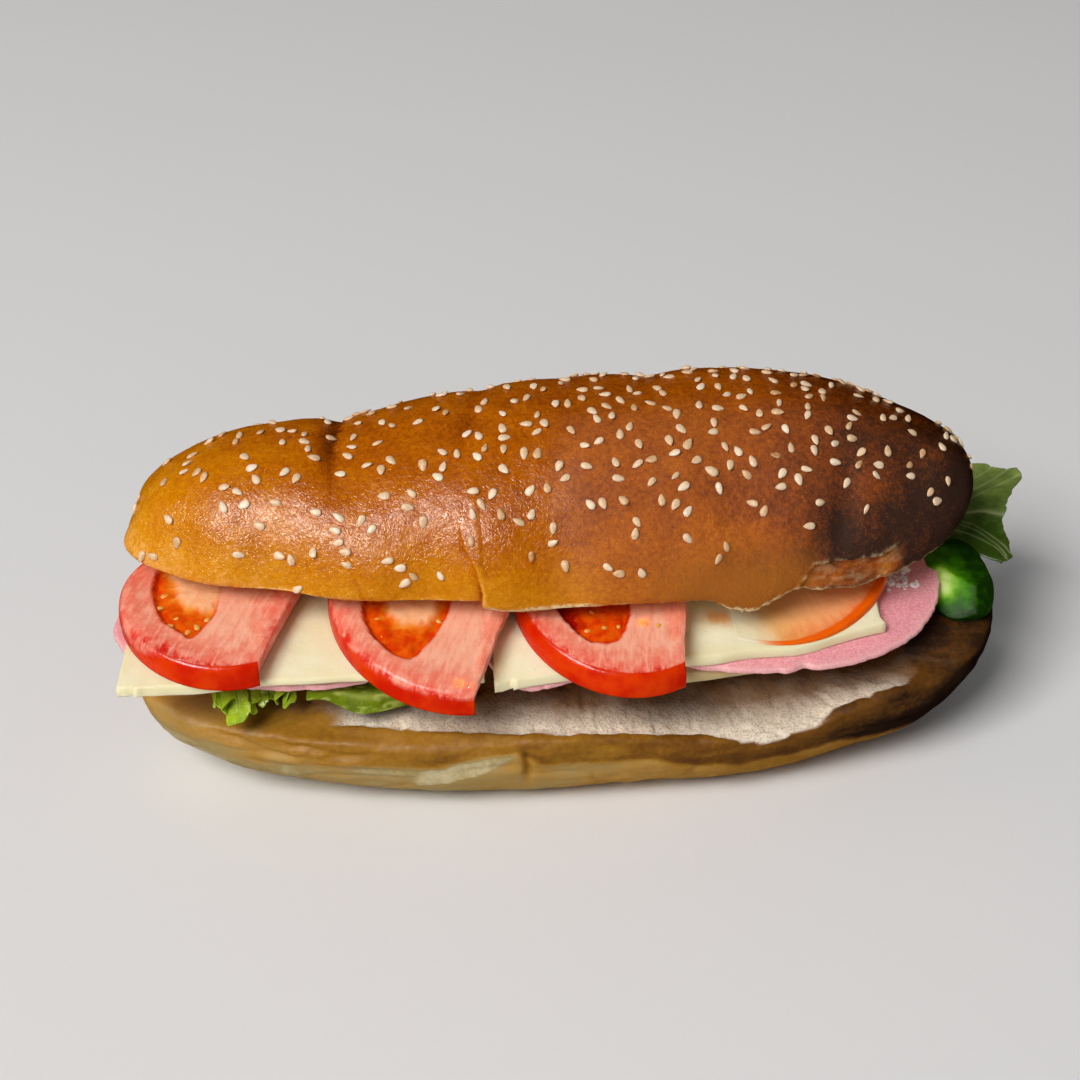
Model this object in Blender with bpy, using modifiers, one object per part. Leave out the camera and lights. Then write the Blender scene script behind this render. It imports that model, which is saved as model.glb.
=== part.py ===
"""Salami and cheese sandwich in a long sesame roll.

The roll lies along X and is cut lengthwise into a heel and a crown.  Between them,
from the heel upwards: three lettuce leaves, a low cheese slice, three salami slices,
two cheese slices and four tomato slices, with a cucumber end at the right.  All the
flat fillings follow one sagging surface, so that they lie on each other like sheets.
Lengths are in millimetres and are scaled to metres when a mesh is written.
"""

import math

import bmesh
import bpy
from mathutils import Matrix, Vector

MM = 0.001
OBJECT = "salami_cheese_sandwich"

# Filling surface: the top of the cheese, highest along the line y = CREST_Y.
CREST_Z = 43.5
CREST_Y = 8.0
FRONT_SAG = 0.0045
BACK_SAG = 0.0060

# Layers, measured from the filling surface.
GAP = 0.45
SLICE_RINGS = 10
TOMATO_THICK = 7.0
THIN_TOMATO_THICK = 2.6
CHEESE_THICK = 2.6
SALAMI_THICK = 1.2
SALAMI_TOP = -CHEESE_THICK - GAP
LOW_CHEESE_TOP = SALAMI_TOP - SALAMI_THICK - GAP
LOW_CHEESE_THICK = 2.4
LETTUCE_THICK = 0.9
LETTUCE_LEVEL = -6.6

# Heel of the roll.
HEEL_CENTRE = (5.0, 2.5)
HEEL_LENGTH = 206.0
HEEL_WIDTH = 77.0
HEEL_TAPER = 0.10
HEEL_POWER_LEFT = 2.2
HEEL_POWER_RIGHT = 2.75
HEEL_FLAT = 0.62
HEEL_RIM_Z = 22.5
HEEL_CUT_SLOPE = 0.07
HEEL_CUT_BELOW = 8.4

# Crown of the roll.
CROWN_CENTRE = (0.5, 12.5)
CROWN_TURN = math.radians(-3.0)
CROWN_LENGTH = 203.0
CROWN_WIDTH = 72.0
CROWN_TAPER = 0.13
CROWN_POWER_LEFT = 2.6
CROWN_POWER_RIGHT = 2.1
CROWN_CLEAR = 8.2
CROWN_BACK_CLEAR = 2.0
CROWN_RIM_FLARE = 2.4
CROWN_HEIGHT = 34.5
CROWN_HEIGHT_TAPER = 0.12
CROWN_FOLDS = ((-53.0, 5.5, 0.075), (-21.0, 5.5, 0.040), (19.0, 7.0, 0.040))

# Tomato slices: centre, half sizes, direction and distance of the straight cut, thickness.
TOMATO_LEAN = 0.08
TOMATOES = (
    ("tomato_1", (-76.3, -2.6), 25.3, 24.0, -13.5, 13.5, TOMATO_THICK),
    ("tomato_2", (-24.0, -8.0), 30.5, 30.5, -20.0, 10.3, TOMATO_THICK),
    ("tomato_3", (15.0, -11.5), 26.3, 26.3, -12.0, 14.5, TOMATO_THICK),
    ("tomato_4", (52.0, 2.0), 29.5, 29.5, 180.0, 13.0, THIN_TOMATO_THICK),
)

# Cheese slices: height of the top, thickness, corners from the back right, anticlockwise.
CHEESES = (
    (
        "cheese_left",
        0.0,
        CHEESE_THICK,
        ((-15.0, 35.0), (-92.0, 37.0), (-103.7, -22.8), (-20.4, -29.5)),
    ),
    (
        "cheese_right",
        0.0,
        CHEESE_THICK,
        ((73.0, 36.0), (-13.0, 37.0), (-18.7, -30.7), (74.5, -24.0)),
    ),
    (
        "cheese_low",
        LOW_CHEESE_TOP,
        LOW_CHEESE_THICK,
        ((50.0, 26.0), (18.0, 27.0), (18.0, -31.2), (52.0, -29.4)),
    ),
)

# Salami slices: centre, half sizes, squareness, turn in degrees.
SALAMIS = (
    ("salami_left", (-64.5, 10.0), 35.0, 36.0, 3.2, -8.0),
    ("salami_middle", (-9.5, 4.5), 14.0, 34.0, 3.5, 7.0),
    ("salami_right", (51.0, 4.5), 42.5, 35.7, 2.6, 0.0),
)

# Cucumber end: middle of its underside, sizes, slopes of its cut face.
CUCUMBER_CENTRE = (97.2, -5.0, 28.2)
CUCUMBER_LENGTH = 19.0
CUCUMBER_WIDTH = 27.0
CUCUMBER_TALL = 9.0
CUCUMBER_TILT_X = -0.10
CUCUMBER_TILT_Y = 0.12


def step(low, high, value):
    """Smooth step from 0 at low to 1 at high; high may be the smaller one."""
    part = min(max((value - low) / (high - low), 0.0), 1.0)
    return part * part * (3.0 - 2.0 * part)


def bump(centre, width, value):
    """Bell curve of height 1."""
    return math.exp(-(((value - centre) / width) ** 2))


def filling_z(y):
    """Height of the filling surface, which sags towards the front and the back."""
    sag = FRONT_SAG if y < CREST_Y else BACK_SAG
    return CREST_Z - sag * (y - CREST_Y) ** 2


def oval(angle, half_x, half_y, power):
    """Point on a superellipse."""
    c = math.cos(angle)
    s = math.sin(angle)
    return (
        half_x * math.copysign(abs(c) ** (2.0 / power), c),
        half_y * math.copysign(abs(s) ** (2.0 / power), s),
    )


def scaled(mesh_data):
    """Scales a mesh from millimetres to metres."""
    mesh_data.transform(Matrix.Scale(MM, 4))


def add_object(name, mesh_data, material, smooth=True):
    """Links a mesh object to the collection of the sandwich."""
    scaled(mesh_data)
    item = bpy.data.objects.new(name, mesh_data)
    parts.objects.link(item)
    item.data.materials.append(material)
    for face in mesh_data.polygons:
        face.use_smooth = smooth
    return item


def shaped_ball(name, segments, rings, place, material):
    """Reshapes a UV sphere: place(angle, level) gives each point, level 0 at the bottom."""
    ball = bmesh.new()
    bmesh.ops.create_uvsphere(ball, u_segments=segments, v_segments=rings, radius=1.0)
    for vert in ball.verts:
        level = 1.0 - math.acos(min(max(vert.co.z, -1.0), 1.0)) / math.pi
        angle = math.atan2(vert.co.y, vert.co.x)
        vert.co = Vector(place(angle, level))
    bmesh.ops.recalc_face_normals(ball, faces=ball.faces)
    mesh_data = bpy.data.meshes.new(name)
    ball.to_mesh(mesh_data)
    ball.free()
    return add_object(name, mesh_data, material)


def cooked(name, colour, roughness, coat=0.0):
    """Plain material with a colour, a roughness and an optional wet coat."""
    material = bpy.data.materials.new(name)
    material.use_nodes = True
    shader = material.node_tree.nodes["Principled BSDF"]
    shader.inputs["Base Color"].default_value = (*colour, 1.0)
    shader.inputs["Roughness"].default_value = roughness
    shader.inputs["Metallic"].default_value = 0.0
    shader.inputs["Coat Weight"].default_value = coat
    return material


# ---------------------------------------------------------------- bread


def heel_rim_z(x):
    """Height of the cut edge of the heel, low where the crust is torn down."""
    return HEEL_RIM_Z - 4.0 * bump(38.0, 22.0, x) + 2.5 * step(58.0, 92.0, x)


def heel_point(angle, level):
    """Heel: flat base, rounded wall up to the cut edge, then the cut face."""
    right = 0.5 + 0.5 * math.cos(angle)
    power = HEEL_POWER_LEFT + (HEEL_POWER_RIGHT - HEEL_POWER_LEFT) * right
    x, y = oval(angle, HEEL_LENGTH / 2.0, HEEL_WIDTH / 2.0, power)
    y *= 1.0 + HEEL_TAPER * x / (HEEL_LENGTH / 2.0)
    rim = heel_rim_z(x + HEEL_CENTRE[0]) + HEEL_CUT_SLOPE * (y + HEEL_WIDTH / 2.0)
    if level < 0.2:
        reach = HEEL_FLAT * level / 0.2
        height = 0.0
    elif level < 0.7:
        wall = (level - 0.2) / 0.5 * math.pi / 2.0
        reach = HEEL_FLAT + (1.0 - HEEL_FLAT) * math.sin(wall) ** 0.85
        height = rim * (1.0 - math.cos(wall) ** 0.9)
    else:
        inward = (level - 0.7) / 0.3
        reach = 1.0 - inward
        cut = filling_z(HEEL_CENTRE[1] + y * reach) - HEEL_CUT_BELOW
        height = rim + (cut - rim) * step(0.05, 0.60, inward)
    return (HEEL_CENTRE[0] + x * reach, HEEL_CENTRE[1] + y * reach, height)


def crown_rim_z(x):
    """Extra height of the front edge of the crown: a hanging tongue, then a torn rise."""
    return -1.6 * step(-60.0, -90.0, x) - 2.4 * bump(40.0, 7.0, x) + 2.0 * bump(66.0, 14.0, x)


def crown_under_z(y):
    """Cut face of the crown, pressed onto the tomatoes and low at the back."""
    drop = (CROWN_CLEAR - CROWN_BACK_CLEAR) * step(22.0, 44.0, y)
    return filling_z(y) + CROWN_CLEAR - drop


def crown_point(angle, level):
    """Crown: cut face from the middle to the edge, then the dome up to the top."""
    right = 0.5 + 0.5 * math.cos(angle)
    power = CROWN_POWER_LEFT + (CROWN_POWER_RIGHT - CROWN_POWER_LEFT) * right
    x, y = oval(angle, CROWN_LENGTH / 2.0, CROWN_WIDTH / 2.0, power)
    y *= 1.0 + CROWN_TAPER * x / (CROWN_LENGTH / 2.0)
    if level < 0.35:
        reach = level / 0.35
        rise = 0.0
        lip = reach**4
    else:
        dome = (level - 0.35) / 0.65 * math.pi / 2.0
        bulge = 0.02 + 0.03 * x / (CROWN_LENGTH / 2.0)
        reach = math.cos(dome) ** 0.80 + bulge * math.sin(2.0 * dome)
        rise = math.sin(dome) ** 0.95
        lip = 1.0
    x *= reach
    y *= reach
    pinch = sum(depth * bump(at, width, x) for at, width, depth in CROWN_FOLDS)
    y *= 1.0 - pinch * rise
    turned_x = CROWN_CENTRE[0] + x * math.cos(CROWN_TURN) - y * math.sin(CROWN_TURN)
    turned_y = CROWN_CENTRE[1] + x * math.sin(CROWN_TURN) + y * math.cos(CROWN_TURN)
    front = step(CROWN_CENTRE[1], -CROWN_WIDTH / 4.0, turned_y)
    height = crown_under_z(turned_y)
    height += lip * (1.0 - rise) * (CROWN_RIM_FLARE + front * crown_rim_z(turned_x))
    tall = CROWN_HEIGHT * (1.0 + CROWN_HEIGHT_TAPER * x / (CROWN_LENGTH / 2.0))
    tall += 3.0 * bump(-78.0, 24.0, x) - 3.0 * bump(95.0, 22.0, x)
    height += tall * rise * (1.0 - pinch)
    return (turned_x, turned_y, height)


# ---------------------------------------------------------------- flat fillings


def slice_point(angle, level, outline, low, thick, lean):
    """Flat slice that follows the filling surface; lean draws in the edge of its top."""
    centre_x, centre_y, edge_x, edge_y = outline(angle)
    if level < 0.42:
        reach = level / 0.42
        up = 0.0
    elif level < 0.58:
        up = (level - 0.42) / 0.16
        reach = 1.0 - lean * up
    else:
        up = 1.0
        reach = (1.0 - lean) * (1.0 - level) / 0.42
    x = centre_x + edge_x * reach
    y = centre_y + edge_y * reach
    return (x, y, filling_z(y) + low + thick * up)


def round_outline(centre, half_x, half_y, power=2.0, cut=None, turn=0.0):
    """Superellipse outline, turned, then cut straight at a direction and a distance."""

    def outline(angle):
        flat_x, flat_y = oval(angle, half_x, half_y, power)
        x = flat_x * math.cos(turn) - flat_y * math.sin(turn)
        y = flat_x * math.sin(turn) + flat_y * math.cos(turn)
        if cut:
            direction, distance = cut
            across = x * math.cos(direction) + y * math.sin(direction)
            if across > distance:
                x *= distance / across
                y *= distance / across
        return (centre[0], centre[1], x, y)

    return outline


def corner_outline(corners):
    """Straight-edged outline through four corners, given anticlockwise from the back right."""
    centre_x = sum(corner[0] for corner in corners) / 4.0
    centre_y = sum(corner[1] for corner in corners) / 4.0

    def outline(angle):
        turns = ((angle / (2.0 * math.pi)) - 0.125) % 1.0 * 4.0
        side = int(turns + 1e-6) % 4
        along = max(turns - int(turns + 1e-6), 0.0)
        first = corners[side]
        second = corners[(side + 1) % 4]
        x = first[0] + (second[0] - first[0]) * along
        y = first[1] + (second[1] - first[1]) * along
        return (centre_x, centre_y, x - centre_x, y - centre_y)

    return outline


def add_slice(name, outline, low, thick, lean, material, segments=24):
    """Adds one flat slice."""

    def place(angle, level):
        return slice_point(angle, level, outline, low, thick, lean)

    return shaped_ball(name, segments, SLICE_RINGS, place, material)


# ---------------------------------------------------------------- greens


def add_leaf(name, columns, rows, place, material):
    """Thin leaf: a grid laid out by place(u, v), both 0 to 1, thickened on both sides."""
    grid = bmesh.new()
    bmesh.ops.create_grid(grid, x_segments=columns, y_segments=rows, size=1.0)
    for vert in grid.verts:
        vert.co = Vector(place((vert.co.x + 1.0) / 2.0, (vert.co.y + 1.0) / 2.0))
    mesh_data = bpy.data.meshes.new(name)
    grid.to_mesh(mesh_data)
    grid.free()
    leaf = add_object(name, mesh_data, material)
    shell = leaf.modifiers.new("leaf_thickness", "SOLIDIFY")
    shell.thickness = LETTUCE_THICK * MM
    shell.offset = 0.0
    return leaf


def under_z(y):
    """Middle height of the space between the cut face of the heel and the salami."""
    return filling_z(y) + LETTUCE_LEVEL


def frill_point(u, v):
    """Leaf under the left salami; its front edge is frilled and hangs over the heel."""
    edge = step(0.30, 0.0, v)
    x = -83.0 + 21.0 * u - 6.0 * (1.0 - u) * (1.0 - edge)
    y = -26.5 + 62.0 * v + 1.4 * edge * math.sin(21.0 * u)
    z = under_z(y) + 0.4 * math.sin(9.0 * u) - 4.6 * edge + 2.0 * edge * math.sin(15.0 * u + 1.0)
    return (x, y, z)


def fold_point(u, v):
    """Leaf beside the frill; its front edge is a flat fold."""
    edge = step(0.25, 0.0, v)
    x = -57.0 + 29.0 * u - 4.0 * edge * (1.0 - u)
    y = -27.5 + 62.0 * v + 3.5 * edge * u
    z = under_z(y) + 0.4 * math.sin(8.0 * u + 3.0 * v) - 2.6 * edge
    return (x, y, z)


def end_leaf_point(u, v):
    """Leaf that stands out past the right end and turns up behind the crown."""
    reach = 42.0 + 10.0 * v + 2.5 * math.sin(9.0 * v + 1.0)
    x = 70.0 + reach * u
    out = step(98.0, 112.0, x)
    rise = step(90.0, 103.0, x)
    y = 12.0 + 22.0 * v - out * (17.0 - 8.0 * v)
    inside_z = under_z(y)
    outside_z = 41.0 + 7.0 * v * out + 0.8 * math.sin(10.0 * v)
    z = inside_z + (outside_z - inside_z) * rise
    return (x, y, z)


def cucumber_point(angle, level):
    """End of a cucumber cut lengthwise: rounded skin below and outside, flat cut above."""
    x, y = oval(angle, CUCUMBER_LENGTH / 2.0, CUCUMBER_WIDTH / 2.0, 2.4)
    if level < 0.7:
        belly = level / 0.7 * math.pi / 2.0
        reach = math.sin(belly) ** 0.8
        height = CUCUMBER_TALL * (1.0 - math.cos(belly))
    else:
        reach = (1.0 - level) / 0.3
        height = CUCUMBER_TALL
    tilt = CUCUMBER_TILT_X * x * reach + CUCUMBER_TILT_Y * y * reach
    return (
        CUCUMBER_CENTRE[0] + x * reach,
        CUCUMBER_CENTRE[1] + y * reach,
        CUCUMBER_CENTRE[2] + height + tilt,
    )


for item in list(bpy.data.objects):
    bpy.data.objects.remove(item)

parts = bpy.data.collections.new(OBJECT)
bpy.context.scene.collection.children.link(parts)

crust = cooked("golden_crust", (0.46, 0.18, 0.03), 0.35, 0.3)
tomato_flesh = cooked("tomato_flesh", (0.72, 0.10, 0.04), 0.25, 0.4)
cheese_paste = cooked("pale_cheese", (0.83, 0.70, 0.38), 0.45)
salami_meat = cooked("pink_salami", (0.72, 0.28, 0.30), 0.50)
lettuce_leaf = cooked("green_lettuce", (0.14, 0.24, 0.04), 0.45)
cucumber_skin = cooked("cucumber_skin", (0.05, 0.16, 0.01), 0.25, 0.4)

shaped_ball("bun_heel", 44, 15, heel_point, crust)
shaped_ball("bun_crown", 56, 18, crown_point, crust)

for name, centre, half_x, half_y, cut_degrees, cut_at, thick in TOMATOES:
    disc = round_outline(centre, half_x, half_y, cut=(math.radians(cut_degrees), cut_at))
    add_slice(name, disc, GAP, thick, TOMATO_LEAN, tomato_flesh, segments=28)

for name, top, thick, corners in CHEESES:
    add_slice(name, corner_outline(corners), top - thick, thick, 0.0, cheese_paste)

for name, centre, half_x, half_y, power, turn_degrees in SALAMIS:
    disc = round_outline(centre, half_x, half_y, power, turn=math.radians(turn_degrees))
    add_slice(name, disc, SALAMI_TOP - SALAMI_THICK, SALAMI_THICK, 0.0, salami_meat)

add_leaf("lettuce_frill", 14, 10, frill_point, lettuce_leaf)
add_leaf("lettuce_fold", 8, 8, fold_point, lettuce_leaf)
add_leaf("lettuce_end", 12, 10, end_leaf_point, lettuce_leaf)
shaped_ball("cucumber_end", 20, 10, cucumber_point, cucumber_skin)
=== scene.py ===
"""Looks of the salami and cheese sandwich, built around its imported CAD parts.

Every visible piece repeats the shape of its CAD part on a much finer grid and adds what
the CAD part leaves out: folds, tears, crumb, relief, seeds, pips and drops.  Lengths are
in millimetres until a mesh is written.
"""

import math

import bpy
import numpy as np
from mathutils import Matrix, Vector


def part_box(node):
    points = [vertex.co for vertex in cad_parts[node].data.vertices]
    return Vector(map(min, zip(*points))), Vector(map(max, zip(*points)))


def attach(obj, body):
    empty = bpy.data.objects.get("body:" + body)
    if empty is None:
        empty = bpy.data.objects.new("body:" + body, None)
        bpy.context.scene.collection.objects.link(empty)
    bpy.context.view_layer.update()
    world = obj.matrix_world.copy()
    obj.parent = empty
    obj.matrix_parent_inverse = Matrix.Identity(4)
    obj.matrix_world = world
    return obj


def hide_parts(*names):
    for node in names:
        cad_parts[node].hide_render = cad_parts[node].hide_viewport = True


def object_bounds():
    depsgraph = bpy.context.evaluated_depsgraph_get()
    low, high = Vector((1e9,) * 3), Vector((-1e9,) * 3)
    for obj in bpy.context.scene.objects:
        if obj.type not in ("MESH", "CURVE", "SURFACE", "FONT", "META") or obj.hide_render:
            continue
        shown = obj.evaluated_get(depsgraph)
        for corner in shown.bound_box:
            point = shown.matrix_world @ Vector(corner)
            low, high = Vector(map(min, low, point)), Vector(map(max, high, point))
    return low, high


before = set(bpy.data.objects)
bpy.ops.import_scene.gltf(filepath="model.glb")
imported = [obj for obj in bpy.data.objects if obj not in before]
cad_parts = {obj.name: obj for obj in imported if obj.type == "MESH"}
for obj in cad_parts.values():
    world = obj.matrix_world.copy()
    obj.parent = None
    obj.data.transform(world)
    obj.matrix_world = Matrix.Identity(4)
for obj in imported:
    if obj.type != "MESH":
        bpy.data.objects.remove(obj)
CAD_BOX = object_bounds()

MM = 0.001
PI = math.pi

# ---------------------------------------------------------------- numbers shared with the CAD

CREST_Z, CREST_Y = 43.5, 8
FRONT_SAG, BACK_SAG = 0.0045, 0.006
GAP = 0.45
TOMATO_THICK, CHEESE_THICK, SALAMI_THICK, LOW_CHEESE_THICK = 7, 2.6, 1.2, 2.4
SALAMI_TOP = -CHEESE_THICK - GAP
LOW_CHEESE_TOP = SALAMI_TOP - SALAMI_THICK - GAP
LETTUCE_LEVEL = -6.6

HEEL_CENTRE = (5, 2.5)
HEEL_LENGTH, HEEL_WIDTH, HEEL_TAPER = 206, 77, 0.1
HEEL_POWERS = (2.2, 2.75)
HEEL_FLAT, HEEL_RIM_Z, HEEL_CUT_SLOPE, HEEL_CUT_BELOW = 0.62, 22.5, 0.07, 8.4

CROWN_CENTRE = (0.5, 12.5)
CROWN_TURN = math.radians(-3)
CROWN_LENGTH, CROWN_WIDTH, CROWN_TAPER = 203, 72, 0.13
CROWN_POWERS = (2.6, 2.1)
CROWN_CLEAR, CROWN_BACK_CLEAR, CROWN_RIM_FLARE = 8.2, 2, 2.4
CROWN_HEIGHT, CROWN_HEIGHT_TAPER = 34.5, 0.12

# ---------------------------------------------------------------- numbers of the looks alone

FRONT_END_Y = 6  # grids are finer in front of this
EDGE_LEVEL, DOME_LEVELS = 0.35, 0.65  # level of the crown's cut edge, and the share above it
FOOT_LEVEL, WALL_LEVELS = 0.2, 0.5  # level of the heel's foot, and the share of its wall
CUT_LEVEL, FACE_LEVELS = 0.7, 0.3  # level of the heel's cut edge, and the share of its cut face
SEED_COUNT, SEED_LENGTH, SEED_RISE = 405, 2.95, 0.26


# ---------------------------------------------------------------- small maths


def step(low, high, value):
    """Smooth step from 0 at low to 1 at high; high may be the smaller one."""
    part = np.clip((value - low) / (high - low), 0, 1)
    return part * part * (3 - 2 * part)


def bell(centre, width, value):
    """Bell curve of height 1."""
    return np.exp(-(((value - centre) / width) ** 2))


def mixed(first, second, part):
    """From first to second, at that share of the way."""
    return first + (second - first) * part


def signed_power(value, power):
    """Power of a value's size, with the value's sign."""
    return np.sign(value) * np.abs(value) ** power


def lattice(cell, seed):
    """Fixed random value from -1 to 1 for each whole-numbered cell."""
    mask = 0xFFFFFFFF
    h = cell[..., 0] * 73856093 ^ cell[..., 1] * 19349663 ^ cell[..., 2] * 83492791
    h = (h ^ (seed * 2654435761 & mask)) & mask
    h = ((h ^ (h >> 15)) * 2246822519) & mask
    h = ((h ^ (h >> 13)) * 3266489917) & mask
    h ^= h >> 16
    return h / 0x7FFFFFFF - 1


def noise(points, size, seed=0, octaves=1):
    """Smooth noise from about -1 to 1; size is the width of its largest lumps, one or three numbers."""
    total, weight, weights = 0, 1, 0
    size = np.array(size, float)
    for octave in range(octaves):
        place = points / size + 17.31 * (octave + 1)
        cell = np.floor(place).astype(np.int64)
        part = place - cell
        part = part * part * part * (part * (part * 6 - 15) + 10)
        value = 0
        for corner in np.ndindex(2, 2, 2):
            share = np.prod(np.where(corner, part, 1 - part), axis=-1)
            value = value + share * lattice(cell + np.array(corner), seed + 101 * octave)
        total = total + weight * value
        weights += weight
        weight *= 0.5
        size = size / 2.03
    return total / weights


def filling_z(y):
    """Height of the filling surface, which sags towards the front and the back."""
    sag = np.where(y < CREST_Y, FRONT_SAG, BACK_SAG)
    return CREST_Z - sag * (y - CREST_Y) ** 2


def flat_spots(x, y):
    """Points on the ground under these places, for noise that runs straight through a slice."""
    return np.stack([x, y, np.zeros_like(x)], -1)


def outward(x, y, centre):
    """Level unit vectors away from a centre."""
    out = np.stack([x - centre[0], y - centre[1]], -1)
    return out / np.maximum(np.linalg.norm(out, axis=-1, keepdims=True), 1e-6)


def oval(angle, half_x, half_y, power):
    """Points on a superellipse."""
    return (
        half_x * signed_power(np.cos(angle), 2 / power),
        half_y * signed_power(np.sin(angle), 2 / power),
    )


def spread_angles(count, outline, front, back, closer=None):
    """Angles along an outline, as close together as the weights at its front and back say."""
    dense = np.linspace(-PI, PI, 24001)
    x, y = outline(dense)
    middle_x, middle_y = (x[1:] + x[:-1]) / 2, (y[1:] + y[:-1]) / 2
    weight = np.where(middle_y < FRONT_END_Y, front, back)
    if closer:
        weight = weight * closer(middle_x, middle_y)
    share = np.hypot(np.diff(x), np.diff(y)) * weight
    passed = np.concatenate([[0], np.cumsum(share)])
    return np.interp(np.linspace(0, passed[-1], count + 1)[:-1], passed, dense)


def grid_normals(points):
    """Outward normals of a closed grid, first axis round it and second axis upwards."""
    around = np.roll(points, -1, axis=0) - np.roll(points, 1, axis=0)
    upward = np.gradient(points, axis=1)
    normals = np.cross(around, upward)
    normals /= np.maximum(np.linalg.norm(normals, axis=-1, keepdims=True), 1e-12)
    normals[:, 0] = (0, 0, -1)
    normals[:, -1] = (0, 0, 1)
    return normals


def beside(points, normals, path):
    """Distance from a path on a surface, and the share of the path passed there.

    The distance is positive on the right of a path that runs down the front.
    """
    path = np.array(path, float)
    lengths = np.linalg.norm(np.diff(path, axis=0), axis=1)
    begun = np.concatenate([[0], np.cumsum(lengths)])
    nearest = np.full(points.shape[:-1], 1e9)
    signed = np.zeros_like(nearest)
    passed = np.zeros_like(nearest)
    for index, length in enumerate(lengths):
        ahead = (path[index + 1] - path[index]) / length
        along = np.clip((points - path[index]) @ ahead, 0, length)
        off = points - (path[index] + along[..., None] * ahead)
        distance = np.linalg.norm(off, axis=-1)
        side = -np.sign(np.einsum("...k,...k", np.cross(ahead, normals), off))
        closer = distance < nearest
        nearest = np.where(closer, distance, nearest)
        signed = np.where(closer, distance * side, signed)
        passed = np.where(closer, (begun[index] + along) / begun[-1], passed)
    return signed, passed


def inside(x, y, corners):
    """Distance to a closed outline of corners, positive inside it."""
    corners = np.array(corners, float)
    nearest = np.full(np.shape(x), 1e9)
    crossed = np.zeros(np.shape(x), bool)
    for (ax, ay), (bx, by) in zip(corners, np.roll(corners, -1, axis=0)):
        ex, ey = bx - ax, by - ay
        along = np.clip(((x - ax) * ex + (y - ay) * ey) / (ex * ex + ey * ey), 0, 1)
        nearest = np.minimum(nearest, np.hypot(x - ax - along * ex, y - ay - along * ey))
        spans = (ay > y) != (by > y)
        crossed ^= spans & (x < ax + ex * (y - ay) / (ey if abs(ey) > 1e-9 else 1e-9))
    return np.where(crossed, nearest, -nearest)


def unit(vector):
    """Vector of length 1 in the same direction."""
    return vector / np.linalg.norm(vector)


def tangent(normal, turn):
    """Unit vector in the surface, at that turn."""
    first = np.cross(normal, (0, 1, 0))
    if np.linalg.norm(first) < 0.1:
        first = np.cross(normal, (1, 0, 0))
    first = unit(first)
    return math.cos(turn) * first + math.sin(turn) * np.cross(normal, first)


def rounded(corners, times=2):
    """Cuts the corners of a closed outline, so that it turns smoothly."""
    corners = np.array(corners, float)
    for _ in range(times):
        following = np.roll(corners, -1, axis=0)
        first = 0.75 * corners + 0.25 * following
        second = 0.25 * corners + 0.75 * following
        corners = np.stack([first, second], 1).reshape(-1, 2)
    return corners


# ---------------------------------------------------------------- meshes


def flat_rings(values):
    """Values of a closed grid, one row a vertex: the first pole, the rings, the last pole."""
    rings = values[:, 1:-1].reshape(-1, *values.shape[2:])
    return np.concatenate([values[:1, 0], rings, values[:1, -1]])


def ring_faces(around, levels):
    """Faces of a closed grid."""
    rings = levels - 2
    here = np.arange(around)
    after = (here + 1) % around
    low = np.arange(rings - 1)[None, :]
    first, second = 1 + here[:, None] * rings + low, 1 + after[:, None] * rings + low
    quads = np.stack([first, second, second + 1, first + 1], -1).reshape(-1, 4)
    top = around * rings + 1
    under = np.stack([np.zeros_like(here), 1 + after * rings, 1 + here * rings], -1)
    over = np.stack([np.full_like(here, top), (here + 1) * rings, (after + 1) * rings], -1)
    return quads.tolist() + under.tolist() + over.tolist()


def sheet_faces(columns, rows):
    """Faces of an open grid."""
    low = np.arange(columns - 1)[:, None] * rows + np.arange(rows - 1)[None, :]
    return np.stack([low, low + rows, low + rows + 1, low + 1], -1).reshape(-1, 4).tolist()


def add_piece(name, points, faces, look, slot, nodes=(), values=None):
    """Writes a mesh with its values by vertex, and ties it to the frame."""
    mesh = bpy.data.meshes.new(name)
    mesh.from_pydata((np.asarray(points) * MM).tolist(), [], faces)
    for key, array in (values or {}).items():
        kind, field = ("FLOAT", "value") if array.ndim == 1 else ("FLOAT_VECTOR", "vector")
        attribute = mesh.attributes.new(key, kind, "POINT")
        attribute.data.foreach_set(field, np.ascontiguousarray(array, np.float32).ravel())
    mesh.shade_smooth()
    mesh.materials.append(look)
    item = bpy.data.objects.new(name, mesh)
    bpy.context.scene.collection.objects.link(item)
    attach(item, "root")
    if nodes:
        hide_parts(*nodes)
    return item


def add_rings(name, points, look, slot, nodes=(), values=None):
    """Closed grid as a piece."""
    flat = {key: flat_rings(array) for key, array in (values or {}).items()}
    return add_piece(name, flat_rings(points), ring_faces(*points.shape[:2]), look, slot, nodes, flat)


def joined(grids):
    """Several closed grids as one mesh."""
    points, faces, count = [], [], 0
    for grid in grids:
        flat = flat_rings(grid)
        points.append(flat)
        faces += [[corner + count for corner in face] for face in ring_faces(*grid.shape[:2])]
        count += len(flat)
    return np.concatenate(points), faces


def turned(grid, ahead, aside, up):
    """Grid with its own x, y and z along those three directions."""
    return grid[..., :1] * ahead + grid[..., 1:2] * aside + grid[..., 2:] * up


def anchor(points, node):
    """Shift that puts a plain shape, given as points, where its CAD node is."""
    low, high = (np.array(corner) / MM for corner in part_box(node))
    flat = points.reshape(-1, 3)
    shift = (low + high) / 2 - (flat.min(0) + flat.max(0)) / 2
    shift[2] = low[2] - flat[:, 2].min()
    return shift


# ---------------------------------------------------------------- looks


def rgb(red, green, blue):
    """Screen colour from 0 to 255 as a linear colour."""
    values = np.array([red, green, blue]) / 255
    linear = np.where(values <= 0.04045, values / 12.92, ((values + 0.055) / 1.055) ** 2.4)
    return (*linear.tolist(), 1)


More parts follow.
